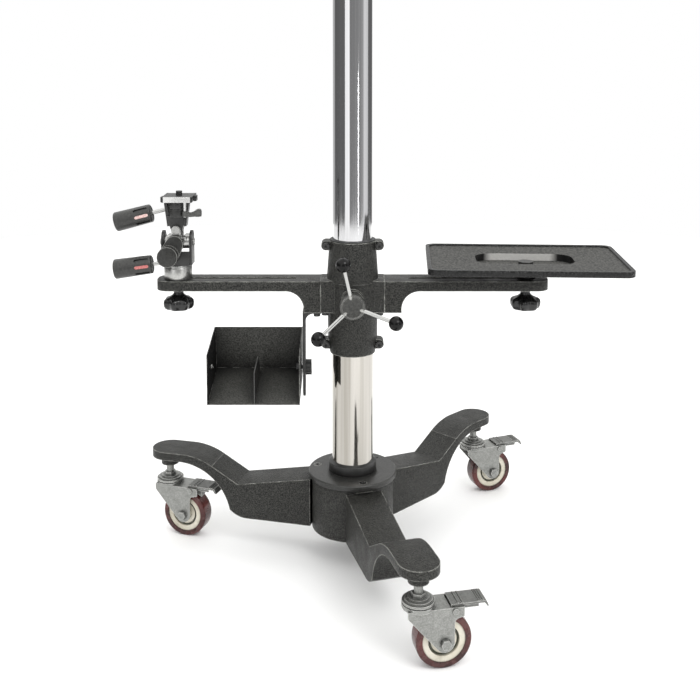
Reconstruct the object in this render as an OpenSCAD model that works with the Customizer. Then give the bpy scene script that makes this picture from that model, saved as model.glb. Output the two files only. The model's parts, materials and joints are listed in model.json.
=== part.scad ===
// Wheeled studio camera column stand, in millimetres.
// The origin is on the floor under the column's axis, X to the right and Z up.

/* [Column] */
// Outer diameter of the column tube
column_d = 60; // [56:0.5:62]
// Wall of the column tube
column_wall = 3; // [2:0.5:4]
// Height of the stand, from the floor to the top of the end cap
stand_h = 1900; // [1200:10:2400]
// Height of the column's foot above the floor
column_z = 58; // [54:1:64]
// Wall of the stop sleeve round the column's foot
sleeve_wall = 1.95; // [1.5:0.05:2.5]
// Height of the end cap's rim
cap_h = 10; // [6:1:20]

/* [Base] */
// Diameter of the hub casting
hub_d = 128; // [124:1:132]
// Height of the hub's lower edge above the floor
hub_z = 47; // [44:1:50]
// Height of the hub's top face above the floor
hub_top = 129; // [126:1:132]
// Wall of the hub round the column socket
socket_wall = 8; // [6:0.5:10]
// Thickness of the hub's outer wall behind a leg
hub_wall = 8; // [7:0.5:10]
// Thickness of the hub's roof
hub_roof = 12; // [10:1:16]
// Diameter of the cover disc on the hub
cover_d = 138; // [134:1:142]
// Thickness of the cover disc
cover_t = 9; // [7:0.5:12]
// Outer diameter of the foot ring
ring_d = 74; // [72:1:80]
// Height of the foot ring
ring_h = 17; // [12:1:22]
// Width of each leg
leg_w = 56; // [50:1:60]
// Distance from the column's axis to a leg's root face
leg_root = 62; // [61:0.5:64]
// Height of a leg's top edge at its root
leg_root_top = 124; // [120:1:126]
// Distance to the crease where the leg's top starts to climb
crease_x = 183; // [175:1:190]
// Slope of the climb, in degrees
climb = 30; // [26:1:34]
// Radius of the crest above the pad
crest_r = 105; // [90:1:115]
// Distance to the start of the leg's rounded lower corner
heel_x = 168; // [160:1:172]
// Radius of the rounded lower corner
heel_r = 40; // [36:1:42]
// Distance to the start of the flat pad
pad_x = 283; // [278:1:288]
// Height of the pad's top face above the floor
pad_top = 142.5; // [138:0.5:148]
// Thickness of the pad
pad_t = 13; // [11:0.5:15]
// Radius of the circle on which the caster stems stand
stem_circle = 311; // [300:1:320]
// Diameter of the boss under each pad
boss_d = 28; // [24:1:34]
// Height of the boss
boss_h = 14.5; // [10:0.5:18]
// Diameter of the leg bolts
leg_bolt_d = 10; // [8:1:12]

/* [Casters] */
// Diameter of the wheels over the tyre
wheel_d = 75; // [70:1:76]
// Width of the tyre
tyre_w = 25; // [20:1:26]
// Radial thickness of the tyre
tyre_t = 8.5; // [6:0.5:10]
// Distance of the axle behind the swivel axis
trail = 31.5; // [28:0.5:34]
// Diameter of the caster stem
stem_d = 12; // [10:0.5:13]
// Diameter of the swivel races
race_d = 43; // [38:1:46]
// Thickness of the fork's sheet metal
fork_t = 2.5; // [2:0.25:3]
// Gap between the fork's cheeks
fork_gap = 31; // [29:0.5:34]
// Diameter of the axle bolt
axle_d = 8; // [6:0.5:10]
// Length of the brake pedal behind the swivel axis
pedal_l = 91; // [84:1:94]
// Width of the brake pedal
pedal_w = 30; // [26:0.5:30]

/* [Carriage] */
// Height of the collar's lower end above the floor, parked on the stop sleeve
collar_z = 327; // [320:1:340]
// Height of the collar
collar_h = 176; // [172:1:190]
// Inner diameter of the collar
collar_bore = 68; // [67:0.5:70]
// Height of each guide liner
liner_h = 30; // [20:1:40]
// Gap between the collar's front and rear halves
split = 1; // [0.6:0.1:2]
// Radius of the bolt lugs
lug_r = 7.3; // [6.5:0.1:8]
// Distance of the bolt lugs from the column's axis
lug_x = 41; // [40:0.5:44]
// Diameter of the lug bolts
lug_bolt_d = 6; // [5:0.5:7]
// Distance from the column's axis to the seam between collar and arm
seam_x = 49; // [47:0.5:52]
// Reach of each arm from the column's axis
arm_reach = 301.5; // [296:0.5:310]
// Width of the arms
arm_w = 51; // [48:1:56]
// Thickness of the arms
arm_t = 15.2; // [13:0.1:18]
// Height of the arms' top face above the floor
arm_top = 442.7; // [440:0.1:446]
// Height of the block at the arm's root
root_h = 48.7; // [44:0.1:52]
// Length of the block at the arm's root
root_l = 26; // [24:1:27]
// Radius of the gusset under the arm
gusset_r = 27.5; // [20:0.5:30]
// Width of the slot in each arm
slot_w = 10; // [9.8:0.1:11]
// Distance from the column's axis to the slot's inner end
slot_in = 86; // [84:1:95]
// Distance from the arm's tip to the slot's outer end
slot_tip = 16.5; // [13.5:0.5:17.5]
// Corner radius of the arm's tip
tip_r = 20; // [12:1:24]

/* [Handwheel] */
// Height of the clamp screw's axis above the floor
screw_z = 416.4; // [412:0.1:420]
// Diameter of the clamp spindle
spindle_d = 10; // [8:0.5:12]
// Diameter of the handwheel's face
face_d = 38; // [34:1:42]
// Distance from the column's axis to the handwheel's face
face_y = 81; // [78:1:86]
// Radius of the circle of balls
ball_circle = 67.3; // [62:0.1:70]
// Diameter of each ball
ball_d = 22; // [20:1:23]
// Diameter of the handwheel's rods
rod_d = 6; // [5:0.5:7]
// Angle of the first rod, counterclockwise from +X as seen from the front
first_rod = 101.7; // [90:0.1:110]

/* [Tray] */
// Length of the tray
tray_l = 300; // [280:1:304]
// Depth of the tray
tray_w = 202; // [190:1:206]
// Height of the tray's edge
tray_h = 9; // [8:0.5:11]
// Depth of the mat below the rim
mat_drop = 3; // [2:0.5:4]
// Height of the tray's rim above the floor
tray_top = 478; // [477:0.5:482]
// Corner radius of the tray
tray_r = 16; // [12:1:24]
// Length of the tray's recess
recess_l = 150; // [130:1:160]
// Width of the tray's recess
recess_w = 78; // [70:1:84]
// Distance from the arm's tip to the tray bolt
tray_tip = 33.5; // [29.5:0.5:39.5]
// Diameter of the tray bolt and of the head's stud
clamp_d = 9; // [8:0.1:9.4]

/* [Head] */
// Distance from the arm's tip to the head's axis
head_tip = 31.5; // [27.5:0.5:37.5]
// Diameter of the head base
head_d = 43; // [41:0.5:46]
// Height of the head base
head_h = 22; // [20:0.5:24]
// Height of the tilt axis above the arm
tilt_up = 57.3; // [56.5:0.1:59]
// Height of the side tilt axis above the tilt axis
yoke_up = 20; // [19.5:0.1:22]
// Width of the pan frame over its cheeks
frame_w = 47; // [45:0.5:50]
// Thickness of the cheeks
cheek_t = 4; // [3:0.5:5]
// Diameter of the yoke's round body
body_d = 30; // [28:0.5:32]
// Height of the yoke's round body
body_h = 24; // [20:0.5:26]
// Length of the camera plate
plate_l = 42; // [38:1:46]
// Depth of the camera plate
plate_w = 44; // [40:1:50]
// Diameter of the camera screw, 3/8 inch
camera_d = 9.525; // [6.35:0.005:9.525]
// Diameter of the handles' grips
grip_d = 30; // [26:1:31]

/* [Bin] */
// Distance from the column's axis to the bin's inner end
bin_x = 80; // [79.5:0.5:84]
// Width of the bin
bin_w = 141; // [120:1:150]
// Thickness of the bin's sheet metal
sheet = 1.2; // [1:0.1:2]
// Height of the bin's pivot above the floor
pivot_z = 303; // [300:1:306]
// Height of the bracket's lower tip above the floor
bracket_z = 257; // [250:1:265]
// Width of the bracket bar
bracket_w = 30; // [26:1:32]
// Thickness of the bracket bar
bracket_t = 4; // [3:0.5:5]

/* [Fits] */
// Radial clearance of a running fit
run_fit = 0.05; // [0.02:0.01:0.09]
// Clearance of a fixed piece in its seat
seat_fit = 0.05; // [0.02:0.01:0.1]
// Gap between faces that slide or turn past each other
slide_gap = 0.3; // [0.2:0.05:0.5]

/* [Hidden] */
$fn = 48;
sides_hex = 6;
// Length of a cut that leaves its piece, how far a cut passes a face, and how deep parts of one piece join
far = 200;
cut = 1;
join = 1;

// Azimuths of the legs and of the tails of their casters, from +X
left_leg_az = 165.8;
right_leg_az = 45.8;
front_leg_az = -74.2;
leg_az = [left_leg_az, right_leg_az, front_leg_az];
left_tail_az = -19;
right_tail_az = 20;
front_tail_az = 12;

// Base, worked out from the driving sizes
column_r = column_d / 2;
hub_r = hub_d / 2;
ring_r = ring_d / 2;
socket_r = column_r + seat_fit;
cavity_in = socket_r + socket_wall;
cavity_out = leg_root - hub_wall;
cover_top = hub_top + cover_t;
cover_edge = 1.5;
ring_top = cover_top + ring_h;
ring_edge = 1.5;
pad_z = pad_top - pad_t;
boss_z = pad_z - boss_h;
crest_x = pad_x - 3;
climb_x = crest_x - crest_r * sin(climb);
climb_z = pad_top - crest_r * (1 - cos(climb));
crease_z = climb_z - (climb_x - crease_x) * tan(climb);
heel_end = heel_x + heel_r;
heel_z = hub_z + 1 + heel_r;
leg_z = hub_z + 1;
arch_drop = pad_z - heel_z;
arch_r = ((pad_x - heel_end) ^ 2 + arch_drop ^ 2) / (2 * arch_drop);
cover_screw_d = 6;
cover_screw_x = (cavity_out + leg_root) / 2 - 0.5;
cover_screw_l = 20;
screw_head_r = cover_screw_d;
screw_socket_r = 2;
leg_bolt_up = [19, 57];
leg_bolt_l = 36;
leg_bolt_head = leg_bolt_d * 0.8;
leg_bolt_socket_r = leg_bolt_d / 2.2;
bore_end = 2;
spot = 0.5;
pad_roof = 4;
rib_w = 9;
rib_turn = 60;
anchor_d = 12;
anchor_h = 25;
anchor_end = 10;
anchor_head_h = 8;
anchor_head_r = anchor_d * 0.85;
plug_r = column_r - column_wall - seat_fit;
cap_plug_h = 20;
cap_edge = 2;
tube_top = stand_h - cap_h;

// Casters, worked out from the driving sizes
axle_z = wheel_d / 2;
stem_free = 21;
race_top = boss_z - stem_free;
race_h = 5.3;
race_step = 2.4;
race_in = 3;
fork_race = 4.4;
dome_h = 2.8;
dome_in = 1.5;
crown_top = race_top - race_h - slide_gap - fork_race;
crown_z = crown_top - fork_t;
kingpin_r = 5;
rivet_r = 8;
rivet_h = 3.6;
stem_nut_h = 7;
stem_nut_r = 9.5;
nut_ring_r = 14;
nut_ring_h = 2;
cheek_y = fork_gap / 2;
fork_half = cheek_y + fork_t;
fork_end_r = 12.5;
fork_nose = 18;
fork_nose_h = 9;
fork_tail = 57;
fork_crown = 38.5;
fork_rear = trail + fork_end_r;
fork_fillet = 7;
fork_arm = crown_top - 14;
fork_arm_rise = 2;
pedal_x = 45;
pedal_z = crown_top - 5;
pedal_pin_r = 2.5;
pedal_pin_head = 1.5;
pedal_t = 2.5;
pedal_root = 39.8;
pedal_web = crown_top + 0.8;
pedal_lip = 6;
pedal_lip_drop = 5;
pedal_flange = 4;
pedal_flange_end = 14;
pedal_rib_x = [49, 55, 77, 80, 83];
pedal_rib_r = 1.2;
ear_t = 1.8;
ear_r = 5.6;
ear_y = pedal_w / 2 - 0.2;
cam_half = 7;
cam_in = 50;
cam_low_in = 52;
cam_out = 62;
cam_slant = 2;
cam_toe_drop = 7.5;
cam_heel_drop = 2.5;
rim_r = wheel_d / 2 - tyre_t;
rim_hub_r = axle_d / 2 + 6;
rim_hub_w = fork_gap - 4;
rim_face = tyre_w / 2 - 1.5;
rim_disc = rim_face - 2;
rim_groove = 5;
rim_groove_in = 18.2;
rim_groove_out = 20.4;
rim_draft = 0.7;
washer_r = axle_d / 2 + 4;
head_t = 5.5;
head_r = axle_d * 0.85;
thread_end = 2;
tyre_round = 3;

// Carriage, worked out from the driving sizes
slot_out = arm_reach - slot_tip;
tray_bolt_x = arm_reach - tray_tip;
head_x = arm_reach - head_tip;
collar_top = collar_z + collar_h;
bore_r = collar_bore / 2;
liner_in = column_r + run_fit + 0.03;
liner_out = bore_r - seat_fit;
collar_r = bore_r + 4;
collar_foot = 3;
collar_foot_h = 15;
collar_bulge = 0.8;
collar_neck = 2;
collar_neck_h = 4;
skirt_z = screw_z + 24;
skirt_out = 2.2;
seat_ring_r = bore_r + 1.2;
seat_ring_h = 1.6;
liner_z = [collar_z + 2, collar_top - liner_h];
block_w = arm_w + 1;
block_top = arm_top + 0.6;
block_z = arm_top - root_h;
lug_up = 7.5;
lug_low = 14;
lug_z = [collar_z + lug_low, collar_top - lug_up];
lug_t = 22;
lug_bolt_head = lug_bolt_d * 0.85;
lug_bolt_head_h = 6;
lug_nut_h = 5;
lug_nut_r = lug_bolt_d * 0.95;
lug_pocket_r = lug_bolt_d * 1.05;
lug_socket_r = lug_bolt_d * 0.45;
lug_socket_h = 3;
arm_z = arm_top - arm_t;
root_x = seam_x + root_l;
spindle_r = spindle_d / 2;
screw_boss_r = 17;
screw_boss_y = 46;
wheel_back = screw_boss_y + slide_gap;
shoe_in = column_r + slide_gap;
shoe_out = bore_r;
shoe_h = 34;
shoe_angle = 50;
shoe_room = 2;
clamp_travel = 1.5;
arm_bolt_d = 8;
arm_bolt_z = block_z + 17;
arm_bolt_y = 13;
arm_bolt_deep = 12;
arm_bolt_head = 8;
arm_head_r = arm_bolt_d * 0.8;
arm_pocket_r = arm_bolt_d * 0.85;
arm_socket_r = arm_bolt_d * 0.45;
arm_socket_h = 4;
bracket_bolt_d = 6;
bracket_bolt_y = 9;
bracket_bolt_x = root_x - 20;
bracket_bolt_deep = 10;
bracket_head_r = bracket_bolt_d * 0.85;
bracket_head_h = 5;
block_bolt_x = seam_x - 7;
block_bolt_y = -arm_bolt_y - 4;
block_bolt_h = 8;
block_head_r = lug_bolt_d * 0.9;
block_head_h = 5;

// Handwheel, worked out from the driving sizes
face_t = 15;
face_edge = 1.5;
face_rim = 2.5;
face_dish = 1;
face_back_edge = 1;
grip_hub_r = 13;
grip_hub_step = 6;
spindle_end = 5;
rods = 3;
rod_in = 10;
rod_y = face_y - face_t / 2;
ball_y = face_y + 9;
ball_r = ball_d / 2;
rod_len = norm([ball_circle, ball_y - rod_y]);

// Clamps on the arms
knob_r = 20;
knob_h = 19;
knob_foot = 4;
knob_dish = 5;
lobes = 7;
lobe_r = 5;
neck_r = 9;
neck_h = 14;
clamp_r = clamp_d / 2;
clamp_foot = 2;
clamp_deep = 4;
knob_top = arm_z - slide_gap;

// Tray, worked out from the driving sizes
tray_z = tray_top - tray_h;
tray_cx = tray_bolt_x - 4;
tray_cy = -10;
tray_turn = -3;
recess_wall = 2.5;
recess_deep = 14;
recess_z = tray_top - recess_deep;
recess_drop = recess_z - recess_wall;
recess_r = 26;
rim_t = 6;
tray_head_d = 23;
tray_head_h = 5;
spacer_r = 13;

// Head, worked out from the driving sizes
head_top = arm_top + slide_gap + head_h;
head_step = 1.5;
head_step_h = 4;
tilt_z = arm_top + tilt_up;
yoke_z = tilt_z + yoke_up;
frame_z = head_top + slide_gap;
frame_floor = 8;
front_wall = 13;
cheek_r = 14;
cheek_up = 4;
cheek_in = frame_w / 2 - cheek_t;
tilt_r = 10.5;
tilt_half = cheek_in - slide_gap;
housing_back = 18.5;
housing_front = 40;
housing_drop = 17;
housing_low = [-10, tilt_z - housing_drop];
housing_low_r = 15.5;
housing_up = [-1, tilt_z];
housing_up_r = 13.2;
housing_face = 27;
tab_t = 5.5;
tongue_t = 22;
tab_y = tongue_t / 2 + slide_gap;
tab_r = 7;
tab_foot = 5;
web_x = 13;
web_w = 6;
yoke_r = 8.5;
yoke_pin_r = 3;
pin_end = 1;
pin_head_h = 3;
pin_head_r = 5;
pivot_head_r = 6;
pivot_nut_r = 5.5;
pivot_slot = [1.4, 2.4, 14];
pivot_slot_turn = 35;
body_z = yoke_z + 20;
body_r = body_d / 2;
body_top = body_z + body_h;
body_band = 11;
body_groove = 1.2;
body_groove_h = 1;
strap_w = 16;
strap_out = 19;
strap_t = 4;
strap_foot = [14.5, 5];
strap_heel = [9, 6];
platform_t = 8.4;
platform_x = -head_x + 3;
platform_edge = 2;
side_lug = [4, 14, 8];
side_lug_y = 6;
side_lug_up = 3;
plate_t = 5.4;
plate_z = body_top + platform_t - plate_t;
camera_up = 6.6;
camera_r = camera_d / 2;
camera_neck_r = camera_r - 1.2;
camera_head_r = 8;
screw_head_h = 1.9;
screw_slot = 1.4;
screw_slot_h = 1;
lever_x = 14;
lever_y = -15.2;
lever_z = body_z + 1.5;
lever_h = 8;
lever_l = 21;
lever_hub_r = 4.2;
lever_w = 5;
lever_end_r = 3.6;
lever_end_y = -1.7;
lever_end_h = 1.5;
lever_turn = 8;
lever_pin_r = 2;
handle_d = 6.4;
lower_y = -32;
lower_near = [15, 26];
lower_far = [90.8, 36.5];
lower_in = [-head_x - lower_near[0], tilt_z - lower_near[1]];
lower_tip = [-head_x - lower_far[0], tilt_z - lower_far[1]];
upper_near = [8, 52.7];
upper_far = [95.6, 30.2];
upper_in = [-head_x - upper_near[0], tilt_z + upper_near[1]];
upper_tip = [-head_x - upper_far[0], tilt_z + upper_far[1]];
rod_short = 20;
grip_l = 58;
grip_near_r = grip_d / 2 - 1;
grip_edge = 2.5;

// Bin, worked out from the driving sizes
bin_out = bin_x + bin_w;
pivot_y = -5;
bin_front = -50;
bin_back = 55;
bin_low_drop = 45;
bin_lip_rise = 32;
bin_rear_y = 44;
bin_rear_rise = 50;
bin_heel_drop = 21;
bin_low = [bin_front, pivot_z - bin_low_drop];
bin_lip = [bin_front, pivot_z + bin_lip_rise];
bin_rear = [bin_rear_y, pivot_z + bin_rear_rise];
bin_heel = [bin_back, pivot_z - bin_heel_drop];
divider_share = 0.49;
divider_x = -bin_x - bin_w * divider_share;
divider_h = 50;
divider_end = 12;
divider_step = 6;
divider_slant = 30;
bracket_x = root_x - 2;
bracket_top = block_z;
bracket_cut = 9;
flange_l = 25;
flange_r = 13;
stud_r = 3;
stud_end = 6;
stud_cap_r = stud_r + 2.5;
wing_r = 9;
wing_hub_h = 8;
wing_h = 9;
wing_t = 5;
wing_out = wing_r + 4;
wing_turn = 20;
stud_grip = 4;

function tangent_point(p, c, r, side) =
    let (d = norm(p - c), a = acos(r / d), b = atan2(p[1] - c[1], p[0] - c[0]))
    c + r * [cos(b + side * a), sin(b + side * a)];

// Places its children at the end of the leg at azimuth az
module at_stem(az) { rotate([0, 0, az]) translate([stem_circle, 0, 0]) children(); }

// Places a caster's swivelling pieces, whose tail points along +X
module at_caster(az, tail) { at_stem(az) rotate([0, 0, tail - az]) children(); }

// Extrudes an outline drawn in X and Z, from y0 to y1
module slab(y0, y1) {
    translate([0, y1, 0]) rotate([90, 0, 0]) linear_extrude(y1 - y0) children();
}

// Two circles and the outline of the belt round them
module tapered_oval(a, ra, b, rb) {
    along = atan2(b[1] - a[1], b[0] - a[0]);
    open = acos((ra - rb) / norm(b - a));
    translate(a) circle(r = ra);
    translate(b) circle(r = rb);
    polygon([for (s = [-1, 1]) a + ra * [cos(along + s * open), sin(along + s * open)],
             for (s = [1, -1]) b + rb * [cos(along + s * open), sin(along + s * open)]]);
}

// Rod along Y from y0 to y1
module rod_y(r, y0, y1) { translate([0, y0, 0]) rotate([-90, 0, 0]) cylinder(r = r, h = y1 - y0); }

// Rod along X from x0 to x1
module rod_x(r, x0, x1) { translate([x0, 0, 0]) rotate([0, 90, 0]) cylinder(r = r, h = x1 - x0); }

// Rectangle with round corners about the origin
module round_rect(l, w, r) {
    square([l - 2 * r, w], center = true);
    square([l, w - 2 * r], center = true);
    for (x = [-1, 1], y = [-1, 1]) translate([x * (l / 2 - r), y * (w / 2 - r)]) circle(r = r);
}

module base_hub() {
    color([0.27, 0.27, 0.26]) difference() {
        translate([0, 0, hub_z]) cylinder(r = hub_r, h = hub_top - hub_z);
        for (az = leg_az) rotate([0, 0, az])
            translate([leg_root, -leg_w / 2 - seat_fit, hub_z - cut])
                cube([hub_r, leg_w + 2 * seat_fit, leg_root_top - hub_z + 2 * cut]);
        translate([0, 0, column_z]) cylinder(r = socket_r, h = hub_top);
        translate([0, 0, hub_z - cut]) cylinder(r = anchor_d / 2 + seat_fit, h = hub_top);
        hub_cavity();
        for (az = leg_az) rotate([0, 0, az]) {
            for (up = leg_bolt_up) translate([0, 0, hub_z + up]) {
                rod_x(leg_bolt_d / 2 + seat_fit, cavity_in, far);
                rod_x(leg_bolt_d, cavity_in, cavity_out + spot);
            }
            translate([cover_screw_x, 0, hub_top - cover_screw_l + cover_t])
                cylinder(r = cover_screw_d / 2 + seat_fit, h = cover_screw_l);
        }
    }
}

// Hollow under the hub's roof, between the socket and the outer wall, less its ribs
module hub_cavity() {
    difference() {
        translate([0, 0, hub_z - cut])
            cylinder(r = cavity_out, h = hub_top - hub_roof - hub_z + cut);
        cylinder(r = cavity_in, h = hub_top);
        for (az = leg_az) rotate([0, 0, az + rib_turn]) translate([0, -rib_w / 2, 0])
            cube([hub_r, rib_w, hub_top]);
    }
}

module leg_profile() {
    difference() {
        union() {
            polygon([[leg_root, leg_z], [heel_x, leg_z], [heel_end, heel_z],
                     [climb_x, heel_z + join], [climb_x, climb_z], [crease_x, crease_z],
                     [leg_root, leg_root_top]]);
            intersection() {
                translate([heel_x, heel_z]) circle(r = heel_r);
                translate([heel_x, leg_z]) square(heel_r);
            }
            translate([climb_x - join, heel_z])
                square([stem_circle + leg_w / 2 - climb_x + join, climb_z - heel_z]);
            intersection() {
                translate([crest_x, pad_top - crest_r]) circle(r = crest_r);
                translate([climb_x, heel_z]) square([crest_x - climb_x, crest_r]);
            }
            translate([crest_x, heel_z])
                square([stem_circle + leg_w / 2 - crest_x, pad_top - heel_z]);
        }
        translate([pad_x, pad_z - arch_r]) circle(r = arch_r);
        translate([pad_x, 0]) square([stem_circle, pad_z]);
    }
}

module leg(az) {
    color([0.27, 0.27, 0.26]) rotate([0, 0, az]) difference() {
        union() {
            intersection() {
                slab(-leg_w / 2, leg_w / 2) leg_profile();
                linear_extrude(pad_top + cut) {
                    translate([0, -leg_w / 2]) square([stem_circle, leg_w]);
                    translate([stem_circle, 0]) circle(r = leg_w / 2);
                }
            }
            translate([stem_circle, 0, boss_z]) cylinder(r = boss_d / 2, h = boss_h + join);
        }
        translate([stem_circle, 0, 0]) cylinder(r = stem_d / 2 + seat_fit, h = pad_top - pad_roof);
        for (up = leg_bolt_up) translate([0, 0, hub_z + up])
            rod_x(leg_bolt_d / 2 + seat_fit, 0, cavity_out + leg_bolt_l + bore_end);
    }
}

module hub_cover() {
    color([0.30, 0.30, 0.29]) difference() {
        rotate_extrude() polygon([[socket_r, hub_top], [cover_d / 2 - cover_edge, hub_top],
            [cover_d / 2, hub_top + cover_edge], [cover_d / 2, cover_top - cover_edge],
            [cover_d / 2 - cover_edge, cover_top], [socket_r, cover_top]]);
        for (az = leg_az) rotate([0, 0, az]) translate([cover_screw_x, 0, 0]) {
            cylinder(r = cover_screw_d / 2 + seat_fit, h = stand_h);
            translate([0, 0, cover_top - cover_screw_d / 2 - seat_fit])
                cylinder(r1 = cover_screw_d / 2, r2 = screw_head_r + seat_fit,
                         h = cover_screw_d / 2 + seat_fit);
        }
    }
}

// Countersunk screws of the cover, and the bolts that hold the legs from inside the hub
module base_screws() {
    color([0.55, 0.55, 0.54]) for (az = leg_az) rotate([0, 0, az]) {
        translate([cover_screw_x, 0, 0]) difference() {
            union() {
                translate([0, 0, cover_top - cover_screw_l + bore_end])
                    cylinder(r = cover_screw_d / 2, h = cover_screw_l - cover_screw_d / 2);
                translate([0, 0, cover_top - cover_screw_d / 2])
                    cylinder(r1 = cover_screw_d / 2, r2 = screw_head_r - seat_fit,
                             h = cover_screw_d / 2);
            }
            translate([0, 0, cover_top - screw_socket_r])
                cylinder(r = screw_socket_r, h = far, $fn = sides_hex);
        }
        for (up = leg_bolt_up) translate([0, 0, hub_z + up]) {
            rod_x(leg_bolt_d / 2, cavity_out, cavity_out + leg_bolt_l);
            difference() {
                rod_x(leg_bolt_head, cavity_out + spot - leg_bolt_d, cavity_out + spot);
                translate([cavity_out - leg_bolt_d, 0, 0]) rotate([0, 90, 0])
                    cylinder(r = leg_bolt_socket_r, h = leg_bolt_d / 2, $fn = sides_hex);
            }
        }
    }
}

module foot_ring() {
    color([0.13, 0.13, 0.13]) rotate_extrude() polygon([
        [socket_r, cover_top], [ring_r, cover_top], [ring_r, ring_top - 2 * ring_edge],
        [ring_r - 2 * ring_edge, ring_top - ring_edge], [ring_r - 3 * ring_edge, ring_top],
        [socket_r, ring_top]]);
}

module column_tube() {
    color([0.72, 0.72, 0.73]) translate([0, 0, column_z]) difference() {
        cylinder(r = column_r, h = tube_top - column_z);
        translate([0, 0, -cut]) cylinder(r = column_r - column_wall, h = tube_top);
    }
}

module stop_sleeve() {
    color([0.80, 0.80, 0.80]) difference() {
        translate([0, 0, ring_top])
            cylinder(r = column_r + seat_fit + sleeve_wall, h = collar_z - slide_gap - ring_top);
        cylinder(r = column_r + seat_fit, h = stand_h);
    }
}

module column_cap() {
    color([0.10, 0.10, 0.10]) rotate_extrude() polygon([
        [0, tube_top - cap_plug_h], [plug_r - cap_edge, tube_top - cap_plug_h],
        [plug_r, tube_top - cap_plug_h + cap_edge], [plug_r, tube_top],
        [column_r, tube_top], [column_r, stand_h - cap_edge],
        [column_r - cap_edge, stand_h], [0, stand_h]]);
}

// Plug in the column's foot, and the bolt that draws the column down into its socket
module column_anchor() {
    color([0.45, 0.45, 0.45]) {
        translate([0, 0, column_z]) difference() {
            cylinder(r = plug_r, h = anchor_h);
            translate([0, 0, -cut]) cylinder(r = anchor_d / 2 + seat_fit, h = anchor_h + 2 * cut);
        }
        translate([0, 0, hub_z - seat_fit]) cylinder(r = anchor_d / 2, h = anchor_h + anchor_end);
        translate([0, 0, hub_z - anchor_head_h])
            cylinder(r = anchor_head_r, h = anchor_head_h, $fn = sides_hex);
    }
}

// Threaded stems with their nuts, upper races and the riveted ends that hold the forks
module caster_stems() {
    color([0.70, 0.71, 0.70]) for (az = leg_az) at_stem(az) {
        translate([0, 0, race_top - join])
            cylinder(r = stem_d / 2, h = pad_top - pad_roof - join - race_top + join);
        translate([0, 0, race_top]) cylinder(r = nut_ring_r, h = nut_ring_h);
        translate([0, 0, race_top]) cylinder(r = stem_nut_r, h = stem_nut_h, $fn = sides_hex);
        translate([0, 0, race_top - race_step]) cylinder(r = race_d / 2 - race_in, h = race_step);
        translate([0, 0, race_top - race_h]) cylinder(r = race_d / 2, h = race_h - race_step);
        translate([0, 0, crown_z - slide_gap - join]) cylinder(r = kingpin_r, h = race_top - crown_z);
        translate([0, 0, crown_z - slide_gap - rivet_h]) cylinder(r = rivet_r, h = rivet_h);
    }
}

// Outline of a cheek: round end on the axle, and a filleted arm out to the pedal
module cheek_outline() {
    axle = [trail, axle_z];
    nose = [-fork_nose, crown_top - fork_nose_h];
    polygon([[-fork_nose, crown_top], nose, tangent_point(nose, axle, fork_end_r, 1), axle,
             [fork_rear, axle_z], [fork_rear, fork_arm], [fork_rear + fork_fillet, fork_arm],
             [fork_tail, fork_arm + fork_arm_rise], [fork_tail, crown_top]]);
    translate(axle) circle(r = fork_end_r);
    difference() {
        translate([fork_rear - join, fork_arm - fork_fillet]) square(fork_fillet + join);
        translate([fork_rear + fork_fillet, fork_arm - fork_fillet]) circle(r = fork_fillet);
    }
}

// Pressed fork: crown plate, lower race and two cheeks
module fork() {
    color([0.70, 0.71, 0.68]) difference() {
        union() {
            translate([-fork_nose, -fork_half, crown_z])
                cube([fork_nose + fork_crown, 2 * fork_half, fork_t]);
            translate([0, 0, crown_z]) cylinder(r = race_d / 2, h = fork_t + dome_h);
            translate([0, 0, crown_top]) cylinder(r = race_d / 2 - dome_in, h = fork_race);
            slab(cheek_y, fork_half) cheek_outline();
            slab(-fork_half, -cheek_y) cheek_outline();
        }
        cylinder(r = kingpin_r + run_fit, h = stand_h);
        translate([trail, 0, axle_z]) rod_y(axle_d / 2 + seat_fit, -far, far);
        translate([pedal_x, 0, pedal_z]) rod_y(pedal_pin_r + run_fit, -far, far);
    }
}

// Axle bolt with its nut, two spacers beside the rim, and the pin of the pedal
module caster_pins() {
    color([0.62, 0.62, 0.60]) {
        translate([trail, 0, axle_z]) {
            rod_y(axle_d / 2, -fork_half, fork_half + head_t + thread_end);
            for (y = [-fork_half - head_t, fork_half]) translate([0, y, 0]) rotate([-90, 0, 0])
                cylinder(r = head_r, h = head_t, $fn = sides_hex);
            for (side = [-1, 1]) difference() {
                rod_y(washer_r, min(side * cheek_y, side * (rim_hub_w / 2 + slide_gap)),
                      max(side * cheek_y, side * (rim_hub_w / 2 + slide_gap)));
                rod_y(axle_d / 2 + seat_fit, -far, far);
            }
        }
        translate([pedal_x, 0, pedal_z]) {
            rod_y(pedal_pin_r, -fork_half, fork_half);
            for (y = [-fork_half - pedal_pin_head, fork_half])
                rod_y(pedal_pin_r + pedal_pin_head, y, y + pedal_pin_head);
        }
    }
}

// Rim: hub, sunk disc, a groove on each side, and the ring that carries the tyre
module rim() {
    hub_half = rim_hub_w / 2;
    bore = axle_d / 2 + run_fit;
    half = [[rim_r, rim_face], [rim_groove_out + rim_draft, rim_face], [rim_groove_out, rim_groove],
            [rim_groove_in, rim_groove], [rim_groove_in - rim_draft, rim_disc],
            [rim_hub_r + rim_draft, rim_disc], [rim_hub_r, hub_half], [bore, hub_half]];
    last = len(half) - 1;
    color([0.80, 0.76, 0.68]) translate([trail, 0, axle_z]) rotate([-90, 0, 0])
        rotate_extrude() polygon([for (p = half) p, for (i = [0 : last])
            [half[last - i][0], -half[last - i][1]]]);
}

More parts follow.
